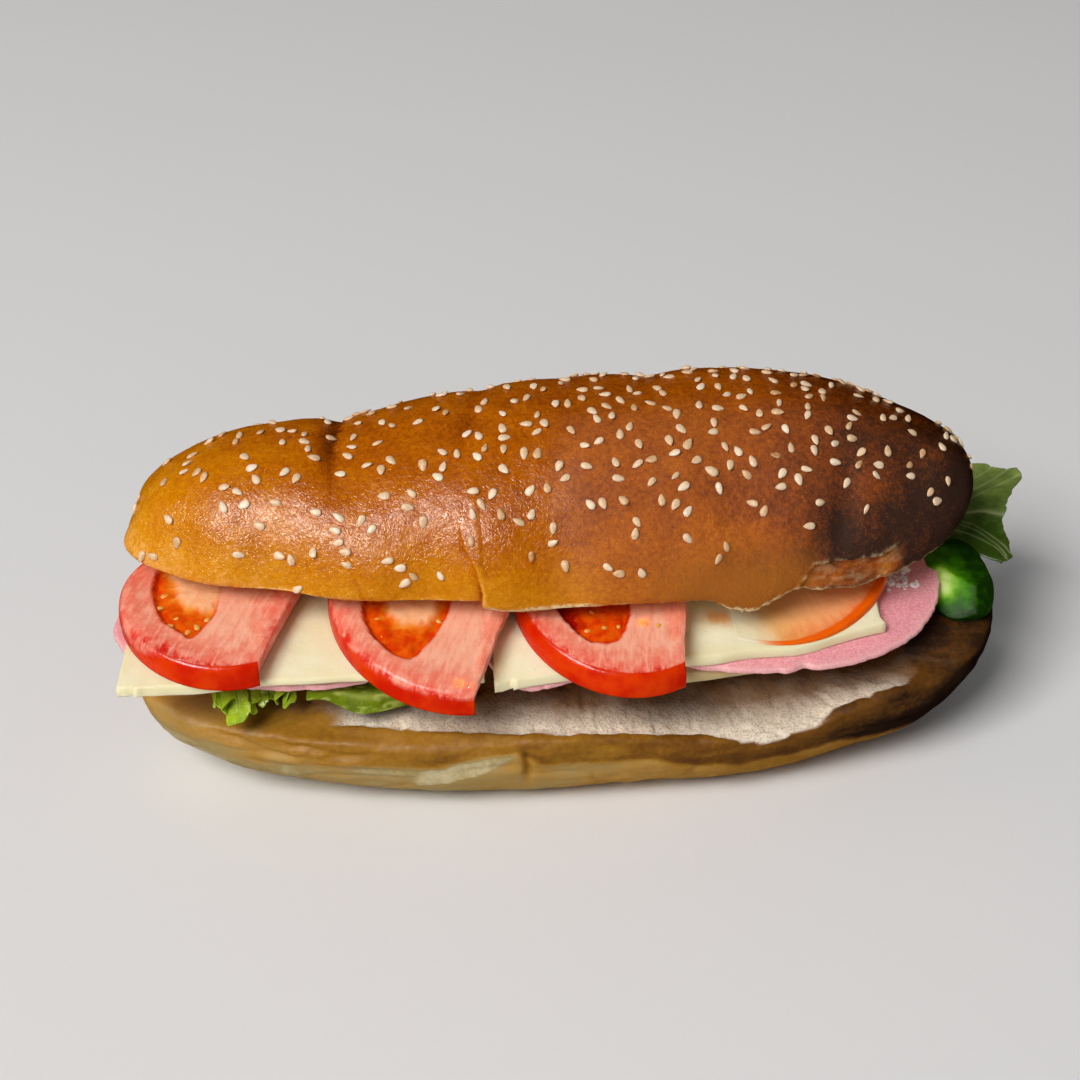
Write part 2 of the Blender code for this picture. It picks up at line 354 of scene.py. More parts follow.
class Look:
    """A material under construction: each call adds a node and returns its output."""

    def __init__(self, name, roughness=0.5, specular=0.5, glow=0, depth=2, tint=(1, 0.5, 0.3), ior=1.45):
        """Sets what is the same all over; glow is subsurface light, depth its reach in millimetres."""
        self.material = bpy.data.materials.new(name)
        self.material.use_nodes = True
        self.tree = self.material.node_tree
        self.shader = self.tree.nodes["Principled BSDF"]
        self.place = self.new("TexCoord").outputs["Object"]
        settings = {
            "Roughness": roughness,
            "Specular IOR Level": specular,
            "IOR": ior,
            "Coat Roughness": 0.1,
            "Subsurface Weight": glow,
            "Subsurface Radius": tint,
            "Subsurface Scale": depth * MM,
        }
        for socket, value in settings.items():
            self.shader.inputs[socket].default_value = value

    def new(self, kind):
        """Adds a node of that kind."""
        return self.tree.nodes.new("ShaderNode" + kind)

    def link(self, value, socket):
        """Gives a socket another node's output, or a plain value."""
        if isinstance(value, bpy.types.NodeSocket):
            self.tree.links.new(value, socket)
        else:
            socket.default_value = value

    def set(self, name, value):
        """Sets a socket of the shader."""
        self.link(value, self.shader.inputs[name])

    def value(self, name, output="Fac"):
        """A mesh's own number or vector by vertex."""
        node = self.new("Attribute")
        node.attribute_name = name
        return node.outputs[output]

    def stretched(self, scale):
        """Coordinates scaled by three numbers."""
        node = self.new("VectorMath")
        node.operation = "MULTIPLY"
        self.link(self.place, node.inputs[0])
        node.inputs[1].default_value = scale
        return node.outputs[0]

    def noise(self, size, detail=3, rough=0.55, warp=0, source=None):
        """Noise with lumps of that size in millimetres, from 0 to 1."""
        node = self.new("TexNoise")
        self.link(source or self.place, node.inputs["Vector"])
        node.inputs["Scale"].default_value = 1 / (size * MM)
        node.inputs["Detail"].default_value = detail
        node.inputs["Roughness"].default_value = rough
        node.inputs["Distortion"].default_value = warp
        return node.outputs["Fac"]

    def cells(self, size):
        """Distance to the nearest of scattered points of that spacing in millimetres."""
        node = self.new("TexVoronoi")
        self.link(self.place, node.inputs["Vector"])
        node.inputs["Scale"].default_value = 1 / (size * MM)
        return node.outputs["Distance"]

    def maths(self, operation, first, second, clamp=False):
        """Sum, product or difference of two values."""
        node = self.new("Math")
        node.operation = operation
        node.use_clamp = clamp
        self.link(first, node.inputs[0])
        self.link(second, node.inputs[1])
        return node.outputs[0]

    def between(self, value, low, high, first=0, second=1):
        """Maps low to first and high to second, smoothly and clamped."""
        node = self.new("MapRange")
        node.interpolation_type = "SMOOTHSTEP"
        self.link(value, node.inputs["Value"])
        for name, number in {"From Min": low, "From Max": high, "To Min": first, "To Max": second}.items():
            node.inputs[name].default_value = number
        return node.outputs["Result"]

    def ramp(self, value, *stops):
        """Colours along a value; each stop is (place, colour)."""
        node = self.new("ValToRGB")
        elements = node.color_ramp.elements
        while len(elements) < len(stops):
            elements.new(0.5)
        for element, (position, colour) in zip(elements, stops):
            element.position = position
            element.color = colour
        self.link(value, node.inputs["Fac"])
        return node.outputs["Color"]

    def times(self, first, second):
        """Product of two values."""
        return self.maths("MULTIPLY", first, second)

    def without(self, mask):
        """What a mask leaves free."""
        return self.maths("SUBTRACT", 1, mask, clamp=True)

    def vary(self, value, pattern, amount):
        """Adds up to that amount, up or down, where a noise pattern is high or low."""
        return self.maths("ADD", value, self.between(pattern, 0.3, 0.7, -amount, amount))

    def mix(self, part, first, second):
        """Colour from first to second, at that share of the way."""
        node = self.new("Mix")
        node.data_type = "RGBA"
        self.link(part, node.inputs[0])
        self.link(first, node.inputs[6])
        self.link(second, node.inputs[7])
        return node.outputs[2]

    def bump(self, height, distance, normal=None):
        """Relief of that height in millimetres."""
        node = self.new("Bump")
        node.inputs["Distance"].default_value = distance * MM
        self.link(height, node.inputs["Height"])
        if normal is not None:
            self.link(normal, node.inputs["Normal"])
        return node.outputs["Normal"]


def crust_look():
    """Egg-glazed crust from gold to dark brown, with open crumb where the mesh says so."""
    look = Look("glazed_crust", specular=0.17, glow=0.03, depth=1.2, tint=(1, 0.6, 0.2))
    look.set("Specular Tint", (1, 0.93, 0.86, 1))
    crumb = look.value("crumb")
    broad = look.noise(9, 4, 0.6)
    fine = look.noise(1.1, 4, 0.65)
    speck = look.noise(0.42, 2, 0.5)
    # brown carries painted light and shade as well as the baking
    brown = look.vary(look.value("brown"), broad, 0.05)
    brown = look.vary(brown, fine, 0.08)
    brown = look.maths("SUBTRACT", brown, look.between(speck, 0.56, 0.72, 0, 0.16))
    crust = look.ramp(
        brown,
        (0, rgb(236, 168, 78)), (0.18, rgb(214, 140, 12)), (0.36, rgb(198, 116, 2)),
        (0.54, rgb(174, 88, 2)), (0.72, rgb(138, 63, 2)), (0.88, rgb(92, 41, 4)), (1, rgb(52, 24, 5)),
    )
    # gold darkens a low band on the front to olive gold: partly crust tone, partly painted shade
    crust = look.mix(look.value("gold"), crust, rgb(166, 97, 4))
    # darker at the pores: painted shade in the crumb's holes
    pores = look.between(look.cells(0.9), 0.1, 0.55)
    paste = look.mix(pores, rgb(186, 138, 72), rgb(232, 202, 148))
    look.set("Base Color", look.mix(crumb, crust, paste))
    gloss = look.between(look.noise(5, 2), 0.35, 0.7, 0.18, 0.28)
    gloss = look.maths("ADD", gloss, look.times(look.value("dull"), 0.6))
    look.set("Roughness", look.maths("ADD", gloss, look.times(crumb, 0.45), clamp=True))
    skin = look.bump(look.noise(0.5, 2, 0.5, 0.5), 0.07)
    skin = look.bump(look.noise(0.9, 3, 0.6, 1), 0.2, skin)
    skin = look.bump(look.noise(2.4, 3, 0.6), 0.2, skin)
    skin = look.bump(look.times(look.noise(0.8, 4, 0.7), crumb), 0.5, skin)
    look.set("Normal", skin)
    return look.material


def heel_look():
    """Underside crust, golden near the cut and pale below, with the white crumb of the cut face."""
    look = Look("heel_crust", specular=0.1, glow=0.06, depth=1.8, tint=(1, 0.7, 0.45))
    crumb = look.value("crumb")
    fine = look.noise(1.3, 4, 0.65)
    broad = look.noise(8, 4, 0.6)
    brown = look.vary(look.value("brown"), broad, 0.04)
    brown = look.vary(brown, fine, 0.04)
    crust = look.ramp(
        brown,
        (0, rgb(212, 198, 158)), (0.2, rgb(166, 144, 92)), (0.4, rgb(178, 136, 64)),
        (0.58, rgb(158, 110, 26)), (0.76, rgb(116, 72, 12)), (1, rgb(46, 24, 5)),
    )
    # darker at the pores: painted shade in the crumb's holes
    pores = look.between(look.cells(0.8), 0.02, 0.45)
    fibres = look.noise(1.4, 4, 0.7)
    paste = look.mix(pores, rgb(206, 180, 148), rgb(246, 233, 212))
    paste = look.mix(look.between(fibres, 0.5, 0.72, 0, 0.55), paste, rgb(196, 158, 120))
    paste = look.mix(look.value("shade"), paste, rgb(104, 66, 24))
    look.set("Base Color", look.mix(crumb, crust, paste))
    gloss = look.between(fine, 0.3, 0.7, 0.48, 0.62)
    look.set("Roughness", look.maths("ADD", gloss, look.times(crumb, 0.3), clamp=True))
    skin = look.bump(look.noise(0.7, 3, 0.6, 0.5), 0.07)
    long = look.noise(2.4, 3, 0.6, 0, look.stretched((0.35, 1, 1)))
    skin = look.bump(look.times(long, look.without(crumb)), 0.22, skin)
    skin = look.bump(look.times(look.noise(0.8, 4, 0.7), crumb), 0.65, skin)
    look.set("Normal", skin)
    return look.material


def seed_look():
    """Hulled sesame, cream to toasted, darker at the tip."""
    look = Look("hulled_sesame", roughness=0.45, specular=0.18, glow=0.12, depth=0.6, tint=(1, 0.7, 0.4))
    base = look.ramp(
        look.vary(look.value("tone"), look.noise(0.8, 3), 0.14),
        (0, rgb(238, 218, 190)), (0.5, rgb(224, 190, 150)), (0.85, rgb(204, 158, 106)),
        (1, rgb(176, 124, 72)),
    )
    look.set("Base Color", look.mix(look.value("tip"), base, rgb(190, 140, 84)))
    look.set("Normal", look.bump(look.noise(0.45, 3, 0.6), 0.08))
    return look.material


def tomato_look(name):
    """Skin, flesh that pales away from the skin, jelly in the seed chambers and the pale core."""
    look = Look(name, specular=0.09, glow=0.16, depth=2, tint=(1, 0.3, 0.1))
    skin, gel, core = look.value("skin"), look.value("gel"), look.value("core")
    streak = look.noise(1.1, 3, 0.6, 0.3, look.value("fibre", "Vector"))
    speckle = look.noise(0.7, 3, 0.65)
    cloud = look.noise(3.2, 3, 0.6)
    far = look.vary(look.value("depth"), streak, 0.04)
    far = look.vary(far, speckle, 0.06)
    far = look.vary(far, cloud, 0.07)
    flesh = look.ramp(
        far,
        (0, rgb(212, 30, 10)), (0.07, rgb(230, 76, 56)), (0.2, rgb(238, 118, 96)),
        (0.5, rgb(242, 138, 112)), (1, rgb(246, 172, 142)),
    )
    flesh = look.mix(look.between(streak, 0.34, 0.52, 0.24, 0), flesh, rgb(226, 84, 70))
    flesh = look.mix(look.between(streak, 0.5, 0.7, 0, 0.36), flesh, rgb(251, 204, 178))
    flesh = look.mix(look.between(cloud, 0.45, 0.68, 0, 0.35), flesh, rgb(250, 190, 164))
    flesh = look.mix(look.between(speckle, 0.6, 0.78, 0, 0.4), flesh, rgb(250, 206, 180))
    blotch = look.noise(2.4, 3, 0.5, 0.4)
    # the dark low end of the jelly ramp shows painted shade, where amber is lowered
    jelly = look.ramp(
        look.vary(look.value("amber"), blotch, 0.16),
        (0, rgb(150, 10, 0)), (0.3, rgb(216, 58, 2)), (0.6, rgb(230, 98, 6)), (1, rgb(240, 158, 48)),
    )
    pith = look.mix(look.noise(2, 4, 0.6), rgb(246, 160, 100), rgb(253, 212, 168))
    base = look.mix(core, look.mix(gel, flesh, jelly), pith)
    skin_tone = look.mix(look.between(look.noise(6, 3), 0.35, 0.7), rgb(204, 26, 0), rgb(222, 58, 2))
    look.set("Base Color", look.mix(skin, base, skin_tone))
    wet = look.maths("ADD", gel, skin, clamp=True)
    look.set("Roughness", look.maths("SUBTRACT", 0.3, look.times(wet, 0.1)))
    look.set("Coat Weight", look.times(gel, 0.22))
    relief = look.bump(look.times(streak, look.without(skin)), 0.16)
    look.set("Normal", look.bump(speckle, 0.07, relief))
    return look.material


def thin_tomato_look():
    """The thin, see-through slice: pale orange flesh, bright skin line, cheese showing at its thin end."""
    look = Look("thin_tomato", specular=0.15, roughness=0.28, glow=0.2, depth=2, tint=(1, 0.4, 0.15))
    streak = look.noise(1.3, 3, 0.6, 0.3, look.value("fibre", "Vector"))
    speckle = look.noise(0.9, 3, 0.65)
    tone = look.vary(look.value("depth"), streak, 0.12)
    flesh = look.ramp(tone, (0, rgb(240, 124, 64)), (0.35, rgb(248, 164, 108)), (1, rgb(251, 192, 142)))
    flesh = look.mix(look.between(speckle, 0.58, 0.76, 0, 0.5), flesh, rgb(252, 200, 158))
    flesh = look.mix(look.value("thin"), flesh, rgb(244, 186, 108))
    flesh = look.mix(look.value("bare"), flesh, rgb(240, 226, 190))
    rind = look.mix(look.noise(4, 2), rgb(236, 84, 2), rgb(246, 112, 8))
    look.set("Base Color", look.mix(look.value("skin"), flesh, rind))
    relief = look.bump(streak, 0.12)
    look.set("Normal", look.bump(speckle, 0.08, relief))
    return look.material


def cheese_look(name, light, deep):
    """Pale sliced cheese with a yellower cut rim and spots of tomato juice."""
    look = Look(name, roughness=0.42, specular=0.14, glow=0.28, depth=3, tint=(1, 0.85, 0.5))
    base = look.mix(look.between(look.noise(12, 3), 0.35, 0.65), light, deep)
    speckle = look.between(look.noise(0.8, 3, 0.6), 0.55, 0.75, 0, 0.25)
    base = look.mix(speckle, base, rgb(250, 246, 226))
    base = look.mix(look.times(look.value("rim"), 0.35), base, rgb(232, 214, 156))
    base = look.mix(look.value("juice"), base, rgb(226, 150, 60))
    look.set("Base Color", base)
    skin = look.bump(look.noise(2.6, 3, 0.55), 0.12)
    skin = look.bump(look.noise(0.5, 3, 0.6), 0.04, skin)
    look.set("Normal", look.bump(look.between(look.cells(3.1), 0.05, 0.16), 0.08, skin))
    return look.material


def salami_look():
    """Fine pink sausage meat with small flecks of fat."""
    look = Look("pink_salami", roughness=0.42, specular=0.16, glow=0.14, depth=1.5, tint=(1, 0.4, 0.35))
    grain = look.noise(0.55, 4, 0.65)
    base = look.ramp(grain, (0.3, rgb(216, 126, 136)), (0.5, rgb(234, 156, 164)), (0.72, rgb(244, 184, 188)))
    fat = look.between(look.cells(1.5), 0.1, 0.2, 1, 0)
    patch = look.between(look.noise(3.5, 2), 0.5, 0.62)
    marbling = look.times(look.times(fat, patch), 0.75)
    base = look.mix(marbling, base, rgb(250, 214, 212))
    base = look.mix(look.times(look.value("rim"), 0.4), base, rgb(244, 196, 190))
    look.set("Base Color", base)
    look.set("Normal", look.bump(grain, 0.12))
    return look.material


def leaf_look(name, deep, light, vein, roughness=0.36):
    """Lettuce between a deep and a light green, with paler veins."""
    look = Look(name, roughness=roughness, specular=0.15, glow=0.2, depth=1.2, tint=(0.5, 1, 0.2))
    tone = look.vary(look.value("tone"), look.noise(3, 4, 0.6), 0.22)
    base = look.ramp(tone, (0, deep), (1, light))
    look.set("Base Color", look.mix(look.value("vein"), base, vein))
    skin = look.bump(look.between(look.cells(0.9), 0, 0.5), 0.05)
    look.set("Normal", look.bump(look.noise(2.2, 3), 0.25, skin))
    return look.material


def cucumber_look():
    """Pale flesh to dark green skin."""
    look = Look("cucumber", roughness=0.45, specular=0.03, glow=0.2, depth=2, tint=(0.6, 1, 0.3))
    tone = look.vary(look.value("tone"), look.noise(2.2, 3), 0.07)
    base = look.ramp(
        tone,
        (0, rgb(214, 232, 150)), (0.3, rgb(148, 196, 66)), (0.55, rgb(84, 146, 8)), (0.8, rgb(46, 100, 2)),
        (1, rgb(20, 50, 2)),
    )
    look.set("Base Color", base)
    look.set("Normal", look.bump(look.noise(1.4, 3), 0.12))
    return look.material


def pip_look():
    """Amber tomato pips."""
    look = Look("tomato_pip", roughness=0.24, specular=0.25, glow=0.2, depth=0.8)
    base = look.mix(look.noise(1, 2), rgb(226, 140, 44), rgb(246, 190, 98))
    look.set("Base Color", base)
    look.set("Normal", look.bump(look.noise(0.6, 2), 0.04))
    return look.material


def drop_look():
    """Clear orange juice."""
    look = Look("clear_juice", roughness=0.04, specular=0.5, ior=1.34)
    look.set("Transmission Weight", 0.8)
    look.set("Base Color", look.mix(look.noise(1.2, 2), rgb(250, 176, 120), rgb(255, 214, 170)))
    look.set("Normal", look.bump(look.noise(1.5, 2), 0.03))
    return look.material


def crumb_look():
    """Pale loose crumbs."""
    look = Look("loose_crumb", roughness=0.85, specular=0.1, glow=0.2, depth=0.6)
    look.set("Base Color", look.mix(look.noise(0.7, 3), rgb(244, 220, 212), rgb(255, 248, 244)))
    look.set("Normal", look.bump(look.noise(0.3, 3, 0.7), 0.15))
    return look.material


# ---------------------------------------------------------------- crown

SEAM = (
    (-13.5, 26, 83.5), (-18.5, 7.5, 84.5), (-21.5, -1, 81.5), (-24, -7.5, 78), (-24.5, -14, 71),
    (-23.5, -17.5, 66), (-21, -19.5, 61.5), (-20, -21, 56), (-20, -21, 52),
)
FOLD = (
    (-45, 38, 76), (-47.5, 19, 81), (-49.5, 8.5, 81), (-51.5, 1, 78), (-52, -5, 74),
    (-50.5, -11.5, 67), (-48, -15.5, 59), (-46, -17, 53.5),
)
DIP = ((24.5, 34, 80.5), (25.5, 19, 85), (20, 3.5, 85.5), (16.5, -2.5, 84))
DENTS = (
    (((8, -11, 78.5), (5.5, -19.5, 69), (4, -22, 63), (3, -23.5, 56)), 6, 0.35),
    (((67, -4, 80.5), (65.5, -15, 74), (62.5, -22, 62), (62, -23, 57)), 5, 1.35),
    (((37, -10, 79.5), (36, -17.5, 73), (35, -22, 66)), 6, 0.5),
    (((84, -2, 78), (83, -9, 70), (81, -13, 62)), 5, 0.8),
    (((-72, -2, 73), (-70, -7.5, 66), (-68.5, -9.5, 59)), 5, 0.5),
)
CROWN_EDGE_X = (
    -97, -90, -84, -77, -58, -40, -28, -21, -19, -16, -10, -3, 16, 27,
    32, 35.5, 38, 44, 47, 50, 53.5, 56, 58, 66, 76, 84, 96,
)
CROWN_EDGE_Z = (
    0.8, 0.9, 1, 1.4, 1.4, 1.9, 2.2, 2.5, 2, 1.5, 1.3, 1.5, 1.75, 2,
    1.9, 0.6, -0.3, -0.5, 0.4, 0.9, 1, -0.8, -1.75, -3.5, -3, -2.2, -1.2,
)
SCRATCH = ((-57.5, -9, 67.5), (-56.5, -9, 68.5), (-54.5, -8.5, 70))
TEAR = (
    (52, -24.5, 50), (53.5, -24, 54), (56, -23.5, 57.5), (64.5, -22, 57), (72.5, -20, 56),
    (76, -18.5, 57), (80.5, -16.5, 57.5),
)


def crown_outline(angle):
    """Outline of the crown before it is turned, blunter at its right end."""
    right = 0.5 + 0.5 * np.cos(angle)
    x, y = oval(angle, CROWN_LENGTH / 2, CROWN_WIDTH / 2, mixed(*CROWN_POWERS, right))
    return x, y * (1 + CROWN_TAPER * x / (CROWN_LENGTH / 2))


def crown_rim(x, y, detailed):
    """Extra height of the front edge of the crown, with its torn teeth where detailed."""
    rim = -1.6 * step(-60, -90, x) - 2.4 * bell(40, 7, x) + 2 * bell(66, 14, x)
    if not detailed:
        return rim
    flat = flat_spots(x, y)
    torn = step(32, 36, x)
    ragged = 0.12 + 0.5 * torn * step(96, 80, x)
    teeth = 0.7 * torn * step(58, 50, x)
    rim = rim + np.interp(x, CROWN_EDGE_X, CROWN_EDGE_Z)
    rim = rim + ragged * noise(flat, 1.8, 5, 2) + 0.25 * noise(flat, 9, 6) + teeth * noise(flat, 0.8, 7)
    return rim - 1 * step(-20.8, -19.8, x) * step(12, -6, x)


def crown_tall(x, detailed):
    """Height of the dome along the crown."""
    tall = CROWN_HEIGHT * (1 + CROWN_HEIGHT_TAPER * x / (CROWN_LENGTH / 2))
    tall = tall + 3 * bell(-78, 24, x) - 3 * bell(95, 22, x)
    if detailed:
        tall = tall + 1.5 * bell(-86, 14, x) - 2.3 * bell(-48, 20, x) - 1.5 * bell(-46, 6, x)
        tall = tall - 2.2 * bell(90, 17, x)
    return tall


def crown_shape(angle, level, detailed):
    """Crown: cut face from the middle to the edge, then the dome up to the top."""
    x, y = crown_outline(angle)
    size = np.hypot(x, y)
    under = level < EDGE_LEVEL
    dome = np.clip((level - EDGE_LEVEL) / DOME_LEVELS, 0, 1) * PI / 2
    bulge = (0.02 + 0.03 * x / (CROWN_LENGTH / 2)) * np.sin(2 * dome)
    reach = np.where(under, level / EDGE_LEVEL, np.maximum(np.cos(dome), 0) ** 0.8 + bulge)
    rise = np.where(under, 0, np.sin(dome) ** 0.95)
    lip = np.where(under, reach**4, 1)
    over = step(0.3, EDGE_LEVEL, level)
    if detailed:
        reach = reach - 0.45 / size * np.exp(-np.abs(level - EDGE_LEVEL) / 0.012)
        tip = step(-60, -98, x)
        inwards = 0.008 * bell(0.44, 0.06, level) - 0.005 * bell(EDGE_LEVEL, 0.03, level)
        inwards = inwards - 0.004 * bell(0.56, 0.07, level)
        reach = reach - tip * inwards * over
    x = x * reach
    y = y * reach
    turned_x = CROWN_CENTRE[0] + x * math.cos(CROWN_TURN) - y * math.sin(CROWN_TURN)
    turned_y = CROWN_CENTRE[1] + x * math.sin(CROWN_TURN) + y * math.cos(CROWN_TURN)
    if detailed:
        turned_x = turned_x + 1.8 * tip * step(8, 17, turned_y) * over * step(0.52, 0.38, level)
    front = step(CROWN_CENTRE[1], -CROWN_WIDTH / 4, turned_y)
    drop = (CROWN_CLEAR - CROWN_BACK_CLEAR) * step(22, 44, turned_y)
    height = filling_z(turned_y) + CROWN_CLEAR - drop
    if detailed:
        lifted = 1.2 * step(-50, -75, turned_x) - 0.1 * step(-90, -98, turned_x)
        height = height + lip * (1 - rise) * lifted
    rim = crown_rim(turned_x, turned_y, detailed)
    height = height + lip * (1 - rise) * (CROWN_RIM_FLARE + front * rim)
    return np.stack([turned_x, turned_y, height + crown_tall(x, detailed) * rise], -1)


def crown_relief(points, normals, level):
    """How far the crust stands proud of the plain shape, and dark: the painted shade in its folds, seam,
    dents and scratch, less a painted highlight along the seam's proud edge.
    """
    relief = 0.55 * noise(points, 24, 11, 2) + 0.2 * noise(points, 7, 12, 2)
    relief = relief + 0.07 * noise(points, 2.4, 13, 2)
    # dark is painted shade, added to the brown of the crust
    dark = np.zeros(points.shape[:-1])
    x, y, z = np.moveaxis(points, -1, 0)
    swell = np.sin((x + 87.5) * 2 * PI / 32) * step(-105, -90, x) * step(10, -5, x)
    relief = relief + 0.75 * swell * step(82, 66, z) * step(8, -8, y)

    side, passed = beside(points, normals, FOLD)
    deep = step(0.62, 0.42, passed) * step(0, 0.1, passed)
    valley = np.where(side < 0, bell(0, 3.4, side), bell(0, 2, side))
    relief = relief - 1.9 * deep * valley + 0.5 * deep * bell(4, 2.6, side)
    # painted shade in the fold's valley
    dark += 0.42 * deep * np.where(side < 0, bell(0, 3.8, side), bell(0, 1.2, side))
    crease = step(0.5, 0.6, passed)
    relief -= 0.28 * crease * bell(0, 0.55, side)
    # painted shade in the crease
    dark += 0.18 * crease * bell(0, 0.5, side)

    side, passed = beside(points, normals, SEAM)
    soft = step(0.62, 0.3, passed)
    sharp = step(0.64, 0.8, passed)
    relief -= 0.85 * soft * np.where(side < 0, bell(0, 4.5, side), bell(0, 3, side))
    blunt = 0.35 + 1.6 * step(0.9, 0.68, passed)
    shelf = step(-1, 1, side / blunt) * np.exp(-np.maximum(side, 0) / 8)
    relief += 1.15 * sharp * shelf - 0.45 * sharp * bell(-0.6, 0.8, side)
    # painted shade in the seam's lines, and a painted highlight along its proud edge
    painted_seam_shade = 0.12 * soft * bell(-1, 2.5, side) + 0.5 * sharp * bell(-0.4, 0.45, side)
    dark += painted_seam_shade - 0.22 * sharp * bell(0.6, 0.5, side)

    side, passed = beside(points, normals, DIP)
    relief -= 1.1 * step(1, 0.5, passed) * bell(0, 6, side)

    for path, width, depth in DENTS:
        side, passed = beside(points, normals, path)
        fade = step(0, 0.35, passed) * step(1.02, 0.75, passed)
        relief -= depth * fade * np.where(side < 0, bell(0, width, side), bell(0, 0.7 * width, side))
        # painted shade in the dents
        dark += 0.07 * fade * depth * bell(0, 0.7 * width, side)

    side, passed = beside(points, normals, SCRATCH)
    relief -= 0.35 * bell(0, 0.45, side)
    # painted shade in the scratch
    dark += 0.2 * bell(0, 0.5, side)

    side, passed = beside(points, normals, TEAR)
    along = step(0, 0.03, passed) * step(1, 0.82, passed)
    below = step(0.25, -0.25, side + 0.25 * noise(points, 1.6, 21, 2)) * step(10.5, 8, -side) * along
    below *= (y < 0) * step(EDGE_LEVEL, 0.36, level)
    edge = bell(0.3, 0.5, side) * (y < 0) * along
    relief += -0.9 * below * np.exp(-np.abs(side) / 5) + 0.35 * edge
    relief += 0.25 * below * noise(points, 1.8, 22, 2)
    return relief, dark, below, edge


def crown_levels():
    """Levels of the crown, closest together at its cut edge."""
    under = np.array([0, 0.06, 0.13, 0.19, 0.24, 0.28, 0.31, 0.33, 0.342])
    rim = EDGE_LEVEL + DOME_LEVELS * np.linspace(0, 0.05, 8)
    dome = EDGE_LEVEL + DOME_LEVELS * np.linspace(0.05, 1, 124)[1:]
    return np.concatenate([under, rim, dome])


def crown_brown_and_shade(points, dark, torn):
    """How brown the crust is baked, darker to the right, with painted light and shade on top: lighter at the
    left end, darker at the right end, low on the right, in a hollow and in the folds.
    """
    x, y, z = np.moveaxis(points, -1, 0)
    front = step(4, -4, y)
    # lighter to the left and darker to the right: partly baking, partly painted light and shade from the
    # lamp at the left
    brown = 0.4 + 0.17 * step(58, 76, z) + 0.2 * step(30, 68, x) + 0.17 * step(64, 98, x)
    brown -= 0.14 * step(63, 53, z) * step(30, 14, x) + 0.18 * step(-50, -95, x)
    # darker low on the right and in the hollow near x 60: partly painted shade
    low = 0.31 * bell(36, 22, x) * step(68, 56, z)
    brown += 0.24 * step(54, 74, x) * step(72, 62, z) + low
    brown += 0.21 * bell(60, 12, x) * step(74, 60, z) * front
    brown += 0.05 * step(-8, 12, x) - 0.03 * step(-15, -30, x)
    brown -= 0.15 * bell(43, 14, x) * step(61, 53, z) * front
    # dark adds the painted shade of the folds and the seam's painted highlight
    brown += 0.06 * noise(points, 15, 31, 2) + 0.05 * noise(points, 4.5, 32, 2) + dark
    return mixed(brown, 0.56 + 0.18 * noise(points, 3, 33), 0.85 * torn)


def crown_crumb(points, level, torn, edge):
    """Where open crumb shows: the cut face, a ragged strip over its edge, and the torn patch."""
    x, y = points[..., 0], points[..., 1]
    strip = step(-20.5, -19, x) * step(9, 4, x) * (y < 0)
    fringe = (step(32, 36, x) * step(96, 88, x) + 2.2 * bell(40, 6, x)) * (y < 0)
    climb = -0.004 + 0.02 * strip + 0.006 * fringe + 0.012 * noise(points, 1.5, 34, 2)
    crumb = step(0.004, -0.004, level - EDGE_LEVEL - DOME_LEVELS * climb)
    crumb = np.maximum(crumb, 0.5 * edge * step(0, 0.35, noise(points, 1.2, 35, 2) + 0.05))
    crumb = np.maximum(crumb, 0.24 * torn * step(-0.1, 0.5, noise(points, (3, 3, 1.1), 36, 3)))
    return np.clip(crumb, 0, 1)


def build_crown(look):
    """Crust of the crown; returns its points and normals, for the seeds."""

    def closer(x, y):
        return 1 + 0.7 * bell(-22, 7, x) * (y < 0)

    angles = spread_angles(620, crown_outline, 1.9, 0.9, closer)[:, None]
    angle, level = np.broadcast_arrays(angles, crown_levels()[None, :])
    plain = crown_shape(angle, level, False)
    points = crown_shape(angle, level, True) + anchor(plain, "bun_crown")
    normals = grid_normals(points)
    relief, dark, torn, edge = crown_relief(points, normals, level)
    points = points + normals * (relief * step(0.335, 0.37, level))[..., None]
    x, y, z = np.moveaxis(points, -1, 0)
    values = {
        "brown": crown_brown_and_shade(points, dark, torn),
        "crumb": crown_crumb(points, level, torn, edge),
        "dull": step(-10, 10, x) * step(10, -5, y),
        # gold: darker olive gold low on the front, partly painted shade
        "gold": 0.75 * step(69, 54, z) * step(4, -4, y) * step(8, 30, x) * step(61, 49, x),
    }
    add_rings("crown_crust", points, look, "bread", ("bun_crown",), values)
    return points, grid_normals(points)


# ---------------------------------------------------------------- seeds


def seed_template():
    """One sesame seed, 1 long, on its flat side: its grid, and how near its tip each point is."""
    around, levels = 12, 10
    angle = np.linspace(0, 2 * PI, around, endpoint=False)[:, None]
    along = np.linspace(0, 1, levels)[None, :]
    body = np.sin(PI * along**0.85) ** 0.62 * (1 - 0.3 * along)
    x = mixed(-0.5, 0.5, along) + 0 * angle
    y = 0.36 * body * np.cos(angle)
    z = 0.17 * body * signed_power(np.sin(angle), 0.9)
    return np.stack([x, y, z], -1), step(0.8, 1, x + 0.5)


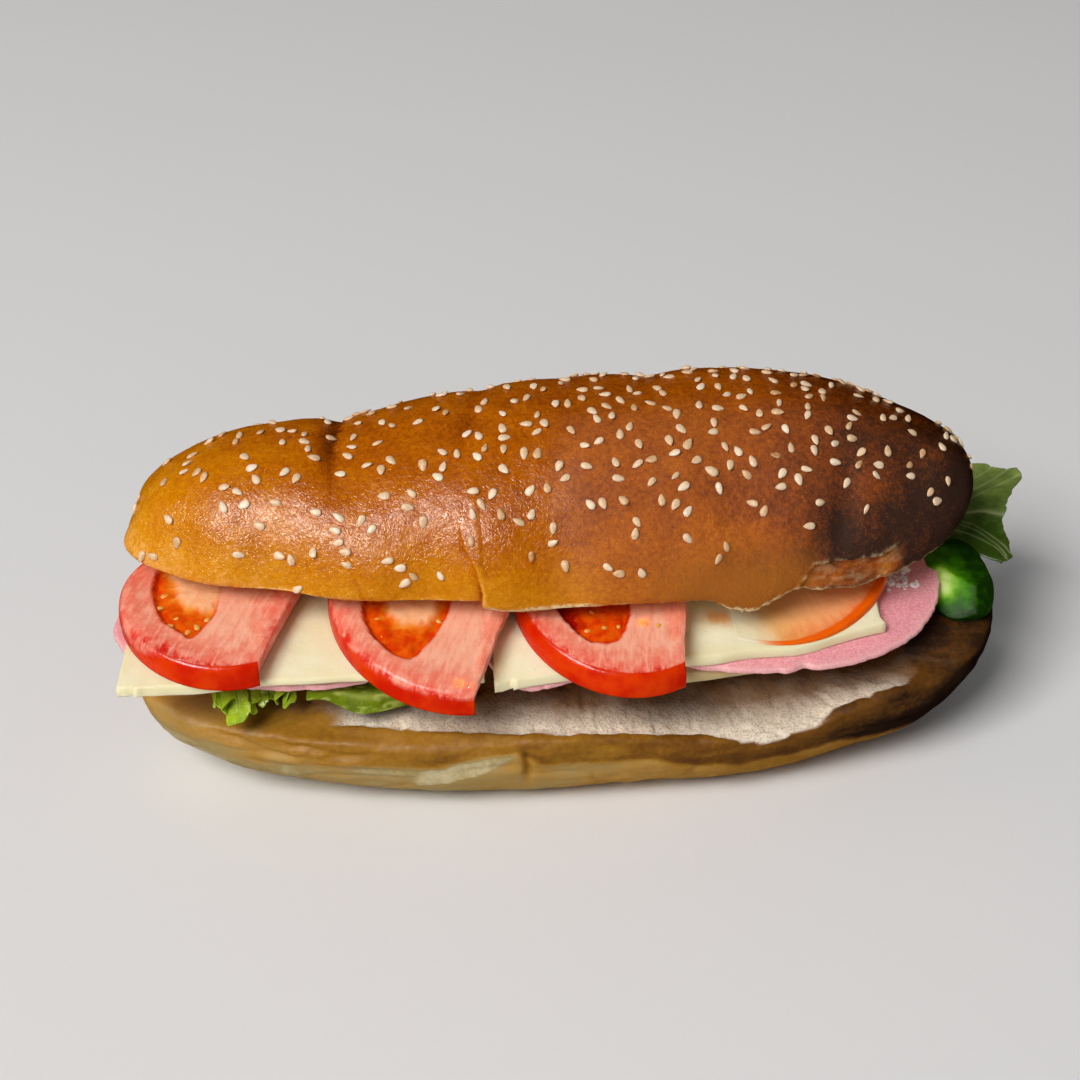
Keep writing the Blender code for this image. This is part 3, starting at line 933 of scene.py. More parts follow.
def strewn_seeds(points, normals, rng, count):
    """Singles and small touching clusters, dense along the top and thin towards the cut edge."""
    x, y, z = np.moveaxis(points, -1, 0)
    across = np.roll(points, -1, axis=0) - points
    upward = np.gradient(points, axis=1)
    area = np.linalg.norm(np.cross(across, upward), axis=-1)
    front = step(10, -10, y)
    dense = mixed(0.35, 1, step(66, 80, z)) * (1 + 0.7 * bell(22, 38, x) * step(76, 82, z))
    dense *= mixed(step(57.5, 61.5, z), 0.25 * step(50, 54, z) + 0.75 * step(56, 64, z), front)
    dense *= 1 - 0.5 * step(-66, -88, x) - 0.45 * step(62, 84, x) * step(80, 72, z)
    dense *= 1 - front * step(50, 58, x) * step(68, 63, z)
    chance = (area * dense)[:, 12:-2].ravel()
    order = rng.choice(len(chance), size=4000, replace=False, p=chance / chance.sum())
    flat_points = points[:, 12:-2].reshape(-1, 3)
    flat_normals = normals[:, 12:-2].reshape(-1, 3)
    placed = []

    def free(spot, room):
        return all(np.linalg.norm(other[0] - spot) > room for other in placed)

    for index in order:
        spot = flat_points[index]
        if not free(spot, rng.uniform(3.2, 5.5)):
            continue
        for _ in range(1 + (rng.random() < 0.4) + (rng.random() < 0.18)):
            if free(spot, 2.5):
                placed.append((spot, flat_normals[index], rng.uniform(0, 2 * PI)))
            near = spot + rng.uniform(2.6, 3.4) * tangent(flat_normals[index], rng.uniform(0, 2 * PI))
            index = int(np.argmin(((flat_points - near) ** 2).sum(1)))
            spot = flat_points[index]
        if len(placed) >= count:
            break
    return placed[:count]


def scatter_seeds(points, normals, look):
    """Sesame seeds strewn over the crown."""
    rng = np.random.default_rng(7)
    placed = strewn_seeds(points, normals, rng, SEED_COUNT)
    shape, tip = seed_template()
    flat_tip = flat_rings(tip)
    grids, tones = [], []
    for spot, normal, turn in placed:
        ahead = tangent(normal, turn)
        normal = unit(normal + 0.14 * rng.normal(size=3))
        aside = unit(np.cross(normal, ahead))
        ahead = np.cross(aside, normal)
        length = rng.normal(SEED_LENGTH, 0.18)
        size = np.array([length, length * rng.normal(0.92, 0.07), length * rng.normal(0.95, 0.08)])
        grids.append(spot + normal * SEED_RISE + turned(shape * size, ahead, aside, normal))
        tones.append(np.clip(rng.normal(0.42, 0.2), 0, 1))
    values = {"tone": np.repeat(tones, len(flat_tip)), "tip": np.tile(0.6 * flat_tip, len(placed))}
    add_piece("sesame_seeds", *joined(grids), look, "bread", (), values)


# ---------------------------------------------------------------- heel

LIP_X = (-104, -80, -65, -48, -27, -13, -4, 17, 29, 38, 45, 49, 61, 79, 87, 108)
LIP_Y = (-6, -13, -19.5, -25, -29.5, -31.5, -33.5, -33.5, -33.5, -36, -42, -38.5, -32.5, -29, -23.5, -12)
NOTCH = (
    (-13, -30.5, 22.5), (-12.5, -33.5, 20.5), (-12, -35, 17.5), (-11.5, -34, 12),
    (-11.5, -31.5, 6),
)
CREASES = ((-78, 3, 0.25), (-69, 5.5, -0.1), (-62, 2.4, 0.15), (-54, 4.2, -0.2))
BAND_X = (-104, -70, -50, -37, -32, -27, -18, -14.5, -10, -6, 20, 60, 80, 108)
BAND_DEPTH = (14, 9, 6, 7.6, 7.4, 5.2, 3.4, 3, 5.6, 6.8, 6.5, 9, 14, 24)


def heel_outline(angle):
    """Outline of the heel, blunter at its right end."""
    right = 0.5 + 0.5 * np.cos(angle)
    x, y = oval(angle, HEEL_LENGTH / 2, HEEL_WIDTH / 2, mixed(*HEEL_POWERS, right))
    return x, y * (1 + HEEL_TAPER * x / (HEEL_LENGTH / 2))


def heel_rim_z(x):
    """Height of the cut edge of the heel, low where the crust is torn down."""
    return HEEL_RIM_Z - 4 * bell(38, 22, x) + 2.5 * step(58, 92, x)


def heel_shape(angle, level, detailed):
    """Heel: flat base, rounded wall up to the cut edge, then the cut face."""
    x, y = heel_outline(angle)
    size = np.hypot(x, y)
    rim = heel_rim_z(x + HEEL_CENTRE[0]) + HEEL_CUT_SLOPE * (y + HEEL_WIDTH / 2)
    steep = 0.85
    if detailed:
        flat = flat_spots(x, y)
        rim = rim + 0.45 * noise(flat, 11, 41, 2) + 0.15 * noise(flat, 2.2, 42, 2)
        rim = rim + 4.6 * step(82, 102, x)
        steep = 1.08
    wall = np.clip((level - FOOT_LEVEL) / WALL_LEVELS, 0, 1) * PI / 2
    inward = np.clip((level - CUT_LEVEL) / FACE_LEVELS, 0, 1)
    base, on_face = level < FOOT_LEVEL, level >= CUT_LEVEL
    reach = HEEL_FLAT + (1 - HEEL_FLAT) * np.sin(wall) ** steep
    reach = np.where(base, HEEL_FLAT * level / FOOT_LEVEL, reach)
    reach = np.where(on_face, 1 - inward, reach)
    height = np.where(base, 0, rim * (1 - np.maximum(np.cos(wall), 0) ** 0.9))
    cut = filling_z(HEEL_CENTRE[1] + y * reach) - HEEL_CUT_BELOW
    height = np.where(on_face, rim + (cut - rim) * step(0.05, 0.6, inward), height)
    if detailed:
        reach = reach - 0.6 / size * np.exp(-np.abs(level - CUT_LEVEL) / 0.01)
        height = height - 0.9 * np.exp(-inward * size / 1.3) * on_face
        height = height - 0.9 * np.exp(-(CUT_LEVEL - level) / 0.02) * (level < CUT_LEVEL)
        reach = reach + 0.024 * step(-70, -100, x) * step(0.3, 0.62, level) * step(1, 0.72, level)
    return np.stack([HEEL_CENTRE[0] + x * reach, HEEL_CENTRE[1] + y * reach, height], -1)


def heel_levels():
    """Levels of the heel, close together on its wall and on the open part of the cut face."""
    flat = np.linspace(0, 0.19, 6)
    wall = np.linspace(FOOT_LEVEL, CUT_LEVEL, 62)
    face = np.concatenate([np.linspace(0, 0.42, 44)[1:], np.linspace(0.42, 1, 10)[1:]])
    return np.concatenate([flat, wall, CUT_LEVEL + FACE_LEVELS * face])


def heel_crumb(points, level, flat, behind, below, on_face):
    """Where the heel's crumb shows, and how far from its ends: on the cut face and in one tear."""
    x, y = points[..., 0], points[..., 1]
    opened = step(-0.35, 0.45, behind)
    ends = step(-57, -51, x + 2 * noise(flat, 4, 49, 2))
    ends = ends * step(83, 75, x + 2 * noise(flat, 4, 48, 2))
    torn = 1.6 * step(40.5, 42.5, x) * step(51.5, 48.5, x) * step(10, -5, y)
    ragged = 0.35 * noise(points, 2, 51, 2)
    near_edge = (level > 0.45) * (level < 0.705) * (torn > 0.02)
    bare = step(0.35, -0.05, below - torn - 0.25 - ragged) * near_edge
    return np.maximum(on_face * opened * ends, bare), ends


def heel_brown_and_shade(points, x, z, flat, below, front):
    """How brown the heel is: a golden band under the cut edge, deeper to the right, pale below it; the
    lighter left end and darker right are partly painted light and shade.
    """
    band = np.interp(x, BAND_X, BAND_DEPTH)
    golden = step(1.2, -1.2, below - band - 1 * noise(points, 5, 58, 2))
    golden *= 1 - 0.6 * step(-48, -64, x) * step(3, 8, below)
    brown = 0.24 + 0.34 * golden + 0.11 * noise(points, 9, 59, 2)
    brown += 0.08 * noise(points, (9, 9, 2), 60, 2)
    middle_z = 16.4 + 0.48 * (x + 25)
    far_x = np.abs(x + 25.5 + 0.5 * noise(flat, 2, 63)) / 12.5
    patch = (far_x**3 + (np.abs(z - middle_z) / 4.3) ** 3) ** (1 / 3)
    pale = step(1.08, 0.86, patch) * (1 - 0.85 * golden) * front
    brown = mixed(brown, 0.06, pale)
    # lighter at the left end and darker to the right: partly baking, partly painted light and shade from the
    # lamp at the left
    brown -= 0.1 * step(-60, -90, x)
    low = step(2, 8, below)
    right = (0.12 + 0.13 * low) * step(-10, 50, x)
    brown += 0.1 * step(-45, 0, x) - 0.1 * step(-72, -98, x) + right
    brown += (0.2 + 0.08 * low) * step(58, 100, x) * front
    return brown + 0.12 * (1 - front)


def heel_shade(x, y, flat, behind, on_face):
    """How deep in the shade of the filling the cut face is."""
    hidden = np.minimum(behind, y - np.maximum(np.interp(x, LIP_X, LIP_Y), -34.5))
    hidden = hidden + 3.4 * step(54, 72, x)
    deep = np.interp(hidden, (0, 2.5, 5, 8, 12), (0, 0.05, 0.45, 0.9, 1))
    return on_face * np.clip(deep + 0.14 * noise(flat, 6, 64, 2), 0, 1) * step(26, 4, y)


def build_heel(look):
    """Lower half of the bun."""
    angles = spread_angles(600, heel_outline, 1.7, 0.8)[:, None]
    angle, level = np.broadcast_arrays(angles, heel_levels()[None, :])
    plain = heel_shape(angle, level, False)
    points = heel_shape(angle, level, True) + anchor(plain, "bun_heel")
    normals = grid_normals(points)
    x, y, z = np.moveaxis(points, -1, 0)
    front = step(10, -5, y)
    flat = flat_spots(x, y)

    rim = heel_rim_z(x) + HEEL_CUT_SLOPE * (y - HEEL_CENTRE[1] + HEEL_WIDTH / 2)
    below = rim + 4.6 * step(82, 102, x) - z
    on_face = step(0.694, 0.702, level)
    behind = np.where(y < 0, y - np.interp(x, LIP_X, LIP_Y), 3) + 0.5 * noise(flat, 2.2, 50, 2)
    crumb, ends = heel_crumb(points, level, flat, behind, below, on_face)
    crust = 1 - crumb

    side, passed = beside(points, normals, NOTCH)
    notch = bell(0, 0.9, side) * step(1.05, 0.55, passed)
    over_foot = step(FOOT_LEVEL, 0.26, level)
    walls = (1 - on_face) * over_foot
    wrinkles = noise(points, (14, 14, 3.6), 52, 3)
    relief = walls * (0.5 * noise(points, 17, 53, 2) + 0.5 * wrinkles + 0.12 * noise(points, 2.6, 54, 2))
    relief -= walls * 0.35 * bell(0, 0.1, noise(points, (22, 22, 5), 55, 2)) * step(20, 14, z)
    relief -= 1.1 * notch * over_foot
    for crease_x, crease_below, slope in CREASES:
        crease = below - crease_below - slope * (x - crease_x) + 0.8 * noise(flat, 4, 65)
        relief -= 0.8 * walls * front * bell(0, 0.7, crease) * bell(crease_x, 6, x)
        relief += 0.5 * walls * front * bell(2, 1.2, crease) * bell(crease_x, 6, x)
    lip = on_face * ends * front * bell(-1.2, 1.8, behind)
    relief += 0.9 * lip + 0.35 * on_face * crust * noise(points, 6, 61, 2)
    swell = 0.9 * noise(flat, 13, 62, 2) - 1.1 * np.maximum(noise(points, 1.5, 56, 3), 0)
    relief += crumb * on_face * (swell - 0.55 * np.abs(noise(points, 3.6, 57, 2)) - 0.4)
    points = points + normals * relief[..., None]
    points[..., 2] = np.maximum(points[..., 2], 0)

    brown = heel_brown_and_shade(points, x, z, flat, below, front)
    # painted shade in the notch, and on the cut face's crust further in under the filling
    brown += 0.2 * notch + 0.08 * on_face * crust * step(0, 6, behind)
    values = {"brown": brown, "crumb": crumb, "shade": heel_shade(x, y, flat, behind, on_face)}
    add_rings("heel_bread", points, look, "bread", ("bun_heel",), values)


# ---------------------------------------------------------------- flat slices


def slice_levels(bottom, side, top):
    """Levels of a slice as (reach, up): underside outwards, edge upwards, top inwards."""
    out = [(reach, 0) for reach in np.linspace(0, 1, bottom)[:-1]]
    edge = [(1, up) for up in np.linspace(0, 1, side)]
    inwards = [(reach, 1) for reach in 1 - np.linspace(0, 1, top)[1:] ** 1.35]
    return np.array(out + edge + inwards)


def round_outline(half_x, half_y, power=2, turn=0, cut=None):
    """Superellipse, turned, then cut straight at a direction and a distance."""

    def outline(angle):
        flat_x, flat_y = oval(angle, half_x, half_y, power)
        x = flat_x * math.cos(turn) - flat_y * math.sin(turn)
        y = flat_x * math.sin(turn) + flat_y * math.cos(turn)
        if cut:
            across = x * math.cos(cut[0]) + y * math.sin(cut[0])
            scale = np.where(across > cut[1], cut[1] / np.maximum(across, 1e-6), 1)
            x, y = x * scale, y * scale
        return x, y

    return outline


def corner_outline(corners):
    """Straight-edged outline through four corners, given anticlockwise from the back right."""
    corners = np.array(corners)
    centre = corners.mean(0)

    def outline(angle):
        turns = ((angle / (2 * PI)) - 0.125) % 1 * 4
        side = np.minimum(np.floor(turns + 1e-9).astype(int), 3)
        along = np.clip(turns - side, 0, 1)[..., None]
        spot = corners[side] + (corners[(side + 1) % 4] - corners[side]) * along
        return spot[..., 0] - centre[0], spot[..., 1] - centre[1]

    return outline


def slice_grid(centre, outline, angles, levels, low, thick, lean=0, belly=0, soften=0):
    """Points of a flat slice on the filling surface, with how far in and how high each one is."""
    edge_x, edge_y = outline(angles)
    reach, up = levels[None, :, 0], levels[None, :, 1]
    size = np.hypot(edge_x, edge_y)[:, None]
    draw = lean * up * (reach > 0) + 0 * size
    reach_now = reach * (1 - draw)
    on_edge = (reach == 1) & (up > 0) & (up < 1)
    reach_now = reach_now + np.where(on_edge, belly * np.sin(PI * up), 0) / size
    if soften:
        corner = np.exp(-np.abs(1 - up) * thick / soften) * np.exp(-(1 - reach) * size / soften)
        reach_now = reach_now - soften * corner / size
    x = centre[0] + edge_x[:, None] * reach_now
    y = centre[1] + edge_y[:, None] * reach_now
    z = filling_z(y) + low + thick * up
    inset = (1 - reach) * size
    return np.stack([x, y, z], -1), inset, np.broadcast_to(up, x.shape)


def placed_slice(name, plain, centre, outline, angles, levels, low, *shape):
    """Slice grid, moved to its CAD node; plain is the node's own outline, thickness and lean."""
    points, inset, up = slice_grid(centre, outline, angles, levels, low, *shape)
    cad_points = slice_grid(centre, plain[0], angles, levels, low, *plain[1:])[0]
    return points + anchor(cad_points, name), inset, up


def cut_outline(half, cut):
    """Tomato slice with one straight cut, at a direction in degrees and a distance."""
    return round_outline(*half, cut=(math.radians(cut[0]), cut[1]))


TOMATOES = (
    ("tomato_1", (-76.3, -2.6), (25.3, 24), (-13.5, 13.5), TOMATO_THICK),
    ("tomato_2", (-24, -8), (30.5, 30.5), (-20, 10.3), TOMATO_THICK),
    ("tomato_3", (15, -11.5), (26.3, 26.3), (-12, 14.5), TOMATO_THICK),
    ("tomato_4", (52, 2), (29.5, 29.5), (180, 13), 2.6),
)
CHAMBERS = {
    "tomato_1": (
        (-93.5, 8), (-94.5, -3), (-93, -11.5), (-90.5, -14.5), (-87.5, -17.5), (-86, -19),
        (-84, -17), (-80.5, -12.5), (-79, -6), (-78.5, 8),
    ),
    "tomato_2": (
        (-46, 0), (-47, -12), (-47, -17.5), (-45.5, -22.5), (-43, -26.5), (-39.5, -29.5),
        (-37, -30), (-34.5, -27.5), (-30.5, -23), (-27.5, -17.5), (-26, -12), (-26, 0),
    ),
    "tomato_3": (
        (-4.5, -8), (-3, -19.5), (-1, -24), (2.5, -29), (5.5, -30), (9.5, -30), (12, -27),
        (14, -21), (15.5, -8),
    ),
}
CORES = {
    "tomato_1": (
        (-90.5, 8), (-89, 0.5), (-88, -6), (-85, -9), (-81.5, -10.5), (-79, -6), (-78, 8),
    ),
    "tomato_2": (
        (-41.5, 0), (-41, -13.5), (-40.5, -17), (-38, -19.5), (-35, -20), (-32, -19.5),
        (-30, -15.5), (-29, 0),
    ),
}
PIPS = {
    "tomato_1": (
        (-92.5, -12), (-90.5, -13.5), (-91.5, -3.5), (-84.5, -14.5), (-86.5, -16), (-82, -12.5),
        (-92.5, -7.5), (-89, -11.5),
    ),
    "tomato_2": (
        (-34, -23), (-33, -21), (-30, -19), (-40.5, -24.5), (-43, -22), (-37.5, -26),
        (-44, -17),
    ),
    "tomato_3": ((7.5, -25), (10.5, -25), (3.5, -25.5), (16, -25.5), (19.5, -26.5), (5, -20.5)),
}
VISIBLE_THICK = 5.8  # the visible slices are thinner than their CAD nodes
VISIBLE_CUTS = {"tomato_1": (-25, 15.2), "tomato_2": (-25.9, 13.5), "tomato_3": (-12, 14.5)}
LOWERED = np.array((0.223, 1.41)) * (TOMATO_THICK - VISIBLE_THICK)


def tomato_top(y, thick):
    """Height of the top of a tomato slice that lies on the filling surface."""
    return filling_z(y) + GAP + thick


def lowered(corners):
    """Outline seen on the top of a full slice, moved along the view to the top of the visible one."""
    return rounded(corners) + LOWERED


def tomato_hollows(name, points):
    """Distances into the seed chambers and into the core of a slice, positive inside them."""
    x, y = points[..., 0], points[..., 1]
    chamber = inside(x, y, lowered(CHAMBERS[name])) + 0.35 * noise(points, 1.5, 73, 2)
    if name not in CORES:
        return chamber, np.full_like(x, -9)
    corners = lowered(CORES[name])
    middle_x, middle_y = corners.mean(0)
    from_x, from_y = x - middle_x, y - middle_y
    spokes = flat_spots(9 * np.arctan2(from_y, from_x), 0.25 * np.hypot(from_x, from_y))
    return chamber, inside(x, y, corners) + noise(spokes, 1.2, 74, 2)


def build_tomato(name, centre, half, cut, thick, look):
    """Thick slice: its rind, its flesh with seed chambers and core, and its ragged straight cut."""
    plain = (cut_outline(half, cut), thick, 0.08)
    cut = VISIBLE_CUTS[name]
    outline = cut_outline(half, cut)
    angles = spread_angles(300, outline, 1.5, 0.7)
    shape = (GAP, VISIBLE_THICK, 0.015, 0.3, 0.6)
    points, inset, up = placed_slice(name, plain, centre, outline, angles, slice_levels(6, 12, 46), *shape)
    x, y = points[..., 0], points[..., 1]
    heading = math.radians(cut[0])
    edge_x, edge_y = outline(angles)
    straight = edge_x * math.cos(heading) + edge_y * math.sin(heading) > cut[1] - 0.05
    on_cut = np.broadcast_to(straight[:, None], x.shape)
    first = name == "tomato_1"
    under = (1.8 if first else 2.2) * (1 - up) * step(6, 0, inset) * on_cut
    points[..., 0] -= under * math.cos(heading)
    points[..., 1] -= under * math.sin(heading)
    if not first:
        points[..., 0] += 0.45 * noise(points, (2, 1.2, 3), 69, 2) * on_cut * step(2, 0, inset)
    across = (x - centre[0]) * math.cos(heading) + (y - centre[1]) * math.sin(heading)
    top = (up > 0.999).astype(float)
    limit = {"tomato_1": mixed(0.3, 1.15, step(-101, -88, x)), "tomato_2": 0.74, "tomato_3": 1.15}[name]
    limit = limit + 0.05 * noise(points, 5, 68, 2)
    skin = np.where(on_cut, 0, 1) * step(0.1, -0.1, up - limit)
    skin = skin * step(0.55, 0.25, inset * (top + (up < 0.001)))
    deeper = (inset + VISIBLE_THICK * np.maximum(up - limit, 0)) / 9
    depth = np.where(on_cut, np.maximum(deeper, 0.14 if first else 0.5), deeper)
    depth = depth + 0.08 * noise(points, 5, 70, 2) + 0.15 * step(7, 0, cut[1] - across)
    redder = {"tomato_1": 0.27, "tomato_2": 0.12, "tomato_3": 0}[name]
    depth -= redder * mixed(0.2, 1, step(-82, -94, x))
    relief = 0.12 * noise(points, 3, 71, 2) + 0.06 * noise(points, 1.1, 72, 2)
    relief = relief + 0.25 * bell(3, 2, inset)
    chamber, heart = tomato_hollows(name, points)
    core = step(-1.2, 1, heart)
    sunk = -1.3 * step(-0.2, 1, chamber) + 0.6 * step(0.6, 2.8, chamber)
    lumps = 0.42 * noise(points, 2.3, 75, 2) * step(0.4, 1.8, chamber)
    relief = relief + (sunk + lumps) * (1 - core) + core * (0.1 + 0.25 * noise(points, 2.6, 76, 2))
    points[..., 2] += relief * top * step(0, 1.2, inset)
    amber = 0.46 + 0.34 * step(-3.5, 0, heart)
    if name == "tomato_3":
        # darker jelly at the back left of the third slice: painted shade under the crown
        amber = 0.42 - 0.5 * step(5, -1, x) * step(-28, -22, y)
    beyond = (y - centre[1]) * math.cos(heading) - (x - centre[0]) * math.sin(heading)
    values = {
        "skin": skin,
        "depth": depth,
        "gel": step(-0.65, 0.05, chamber) * top,
        "core": core * top,
        # darker jelly at the chamber edges: painted shade
        "amber": amber - 0.14 * step(1.6, 0.2, chamber),
        "fibre": np.stack([across, 0.22 * beyond, up * 2], -1) * MM,
    }
    add_rings(name + "_slice", points, look, "tomato", (name,), values)


def build_thin_tomato(name, centre, half, cut, thick, look):
    """The thin slice wedges out to nothing at its left and thickens to the right."""
    outline = cut_outline(half, cut)
    angles = spread_angles(300, outline, 1.5, 0.7)
    shape = (GAP, thick, 0.01, 0.1, 0.25)
    plain = (outline, thick, 0.08)
    points, inset, up = placed_slice(name, plain, centre, outline, angles, slice_levels(6, 8, 50), *shape)
    x, y, z = np.moveaxis(points, -1, 0)
    share = 0.12 + 0.54 * step(43, 80, x)
    points[..., 2] = filling_z(y) + 0.34 + (z - filling_z(y) - GAP) * share
    points[..., 2] += 0.16 * noise(points, 3, 77, 2) * (up > 0.999) * step(0, 1.5, inset)
    edge_x, _ = outline(angles)
    on_cut = np.broadcast_to((edge_x < -cut[1] + 0.05)[:, None], x.shape)
    band = 0.45 + 1.5 * step(46, 74, x)
    around = np.arctan2(y - centre[1], x - centre[0]) * 18
    values = {
        "skin": np.where(on_cut, 0, 1) * step(1.15, 0.85, inset / band) * step(41, 50, x),
        "depth": inset / 14 + 0.15 * noise(points, 5, 79, 2),
        "thin": 0.8 * step(62, 42, x + 2 * noise(points, 4, 78, 2)),
        "bare": step(50, 40, x + 2 * noise(points, 4, 80, 2)),
        "fibre": np.stack([around, 0.2 * inset, up * 2], -1) * MM,
    }
    add_rings(name + "_slice", points, look, "tomato", (name,), values)


CHEESES = (
    ("cheese_left", 0, CHEESE_THICK, ((-15, 35), (-92, 37), (-103.7, -22.8), (-20.4, -29.5))),
    ("cheese_right", 0, CHEESE_THICK, ((73, 36), (-13, 37), (-18.7, -30.7), (74.5, -24))),
    ("cheese_low", LOW_CHEESE_TOP, LOW_CHEESE_THICK, (
        (50, 26), (18, 27), (18, -31.2), (52, -29.4),
    )),
)
JUICE = ((33.8, -17.8, 2), (37, -18.4, 2.4), (42.6, -17, 1.8), (43.4, -20.8, 1.6), (45.6, -19.4, 1.8))


def build_cheese(name, top, thick, corners, look):
    """Cheese slice with its rough cut edge, pulled out or in where the filling shows it."""
    around = 400 if name != "cheese_low" else 240
    angles = PI / 4 + np.arange(around) * (2 * PI / around)
    outline = corner_outline(corners)
    centre = np.array(corners).mean(0)
    levels = slice_levels(5, 9, 26)
    shape = (top - thick, thick, 0, 0.12, 0.3)
    points, inset, up = placed_slice(name, (outline, thick), centre, outline, angles, levels, *shape)
    x, y = points[..., 0], points[..., 1]
    out = outward(x, y, centre)
    flat = flat_spots(x, y)
    wobble = 0.3 * noise(flat, 7, 81, 2)
    front = step(-15, -22, y)
    pull = np.zeros_like(x)
    if name == "cheese_left":
        nicks = 1.1 * bell(-98.6, 0.8, x) - 0.9 * bell(-100.2, 0.6, x) + 0.5 * bell(-101.6, 0.8, x)
        wobble = wobble + front * nicks
        wobble = wobble + step(-24.5, -21.5, x) * front * (0.9 * noise(flat, 1.6, 82, 2) - 0.4)
        pull = 1.6 * bell(-60, 22, x) * step(-12, -25, y)
        pull = pull + 1.8 * bell(-38, 16, x) * step(-8, -25, y)
        points[..., 2] += 1 * step(-88, -70, x) * step(-18, -24, y) * (1 - up)
        points[..., 0] += 0.8 * step(-95, -102, x)
    if name == "cheese_right":
        nicks = 0.9 * bell(-13.9, 0.45, x) - 1.1 * bell(-15.3, 0.9, x) + 0.35 * bell(-17, 0.8, x)
        crumbled = 0.8 * noise(flat, 2.2, 83, 3) - 0.5 * bell(-22, 1.6, y) - 0.3
        wobble = wobble + front * nicks + step(70, 73, x) * crumbled
        pull = -(1.3 * bell(33, 10, x) + 2.4 * bell(53, 11, x)) * step(-15, -26, y)
    if name == "cheese_low":
        pull = 3 * step(-10, -24, y)
    points[..., :2] += out * (wobble * np.exp(-inset / 2))[..., None]
    shift = pull * np.exp(-inset / 14)
    if name == "cheese_right":
        points[..., 2] += filling_z(y + shift) - filling_z(y) - 0.15 * np.abs(shift)
    points[..., 1] += shift
    points[..., 2] += 0.12 * noise(points, 9, 84, 2) + 0.05 * noise(points, 2.4, 85, 2) * (up > 0.9)
    rough_edge = (up > 0) * (up < 1) * 0.12 * noise(points, (1.6, 1.6, 5), 86, 2)
    points[..., :2] += out * rough_edge[..., None]
    juice = np.zeros_like(x)
    if name == "cheese_right":
        for spot_x, spot_y, size in JUICE:
            juice += np.exp(-((x - spot_x) ** 2 + (y - spot_y) ** 2) / size**2)
        juice = np.clip(juice * (0.7 + 0.5 * noise(flat, 1.5, 87, 2)), 0, 0.85)
    values = {"rim": np.exp(-inset / 1.6), "juice": juice}
    add_rings(name + "_slice", points, look, "cheese", (name,), values)


SALAMIS = (
    ("salami_left", (-64.5, 10), 35, 36, 3.2, -8),
    ("salami_middle", (-9.5, 4.5), 14, 34, 3.5, 7),
    ("salami_right", (51, 4.5), 42.5, 35.7, 2.6, 0),
)


def build_salami(name, centre, half_x, half_y, power, turn, look):
    """Thin salami slice with a wavy edge."""
    outline = round_outline(half_x, half_y, power, math.radians(turn))
    angles = spread_angles(420, outline, 1.6, 0.7)
    shape = (SALAMI_TOP - SALAMI_THICK, SALAMI_THICK, 0, 0.1, 0.25)
    plain = (outline, SALAMI_THICK)
    points, inset, _ = placed_slice(name, plain, centre, outline, angles, slice_levels(5, 7, 24), *shape)
    x, y = points[..., 0], points[..., 1]
    out = outward(x, y, centre)
    flat = flat_spots(x, y)
    wobble = 0.35 * noise(flat, 5, 91, 2) + 0.35 * noise(flat, 1.4, 92, 2)
    if name == "salami_right":
        front = step(-20, -26, y)
        nicks = 0.8 * bell(49.3, 1.8, x) - 0.9 * bell(53.5, 1.6, x) - 0.8 * step(62, 46, x)
        wobble = wobble + front * nicks
    if name == "salami_left":
        wobble = wobble + 3.2 * bell(-1, 11, y) * step(-80, -94, x)
        points[..., 1] += 3.5 * step(-5, -24, y)
    points[..., :2] += out * (wobble * np.exp(-inset / 3))[..., None]
    points[..., 2] += 0.18 * noise(points, 7, 93, 2)
    add_rings(name + "_slice", points, look, "salami", (name,), {"rim": np.exp(-inset / 0.9)})


# ---------------------------------------------------------------- greens


def under_z(y):
    """Middle height of the space between the cut face of the heel and the salami."""
    return filling_z(y) + LETTUCE_LEVEL


def leaf_grid(columns, rows):
    """Places along and across a leaf, from 0 to 1, closer together at its front edge."""
    u = np.linspace(0, 1, columns)[:, None]
    v = np.linspace(0, 1, rows)[None, :] ** 1.5
    return np.broadcast_arrays(u, v)


def add_leaf(name, points, look, node, values, thickness):
    """Open sheet as a leaf of that thickness."""
    flat = {key: array.reshape(-1) for key, array in values.items()}
    faces = sheet_faces(*points.shape[:2])
    item = add_piece(name, points.reshape(-1, 3), faces, look, "lettuce", (node,), flat)
    shell = item.modifiers.new("leaf_thickness", "SOLIDIFY")
    shell.thickness = thickness * MM
    shell.offset = 0


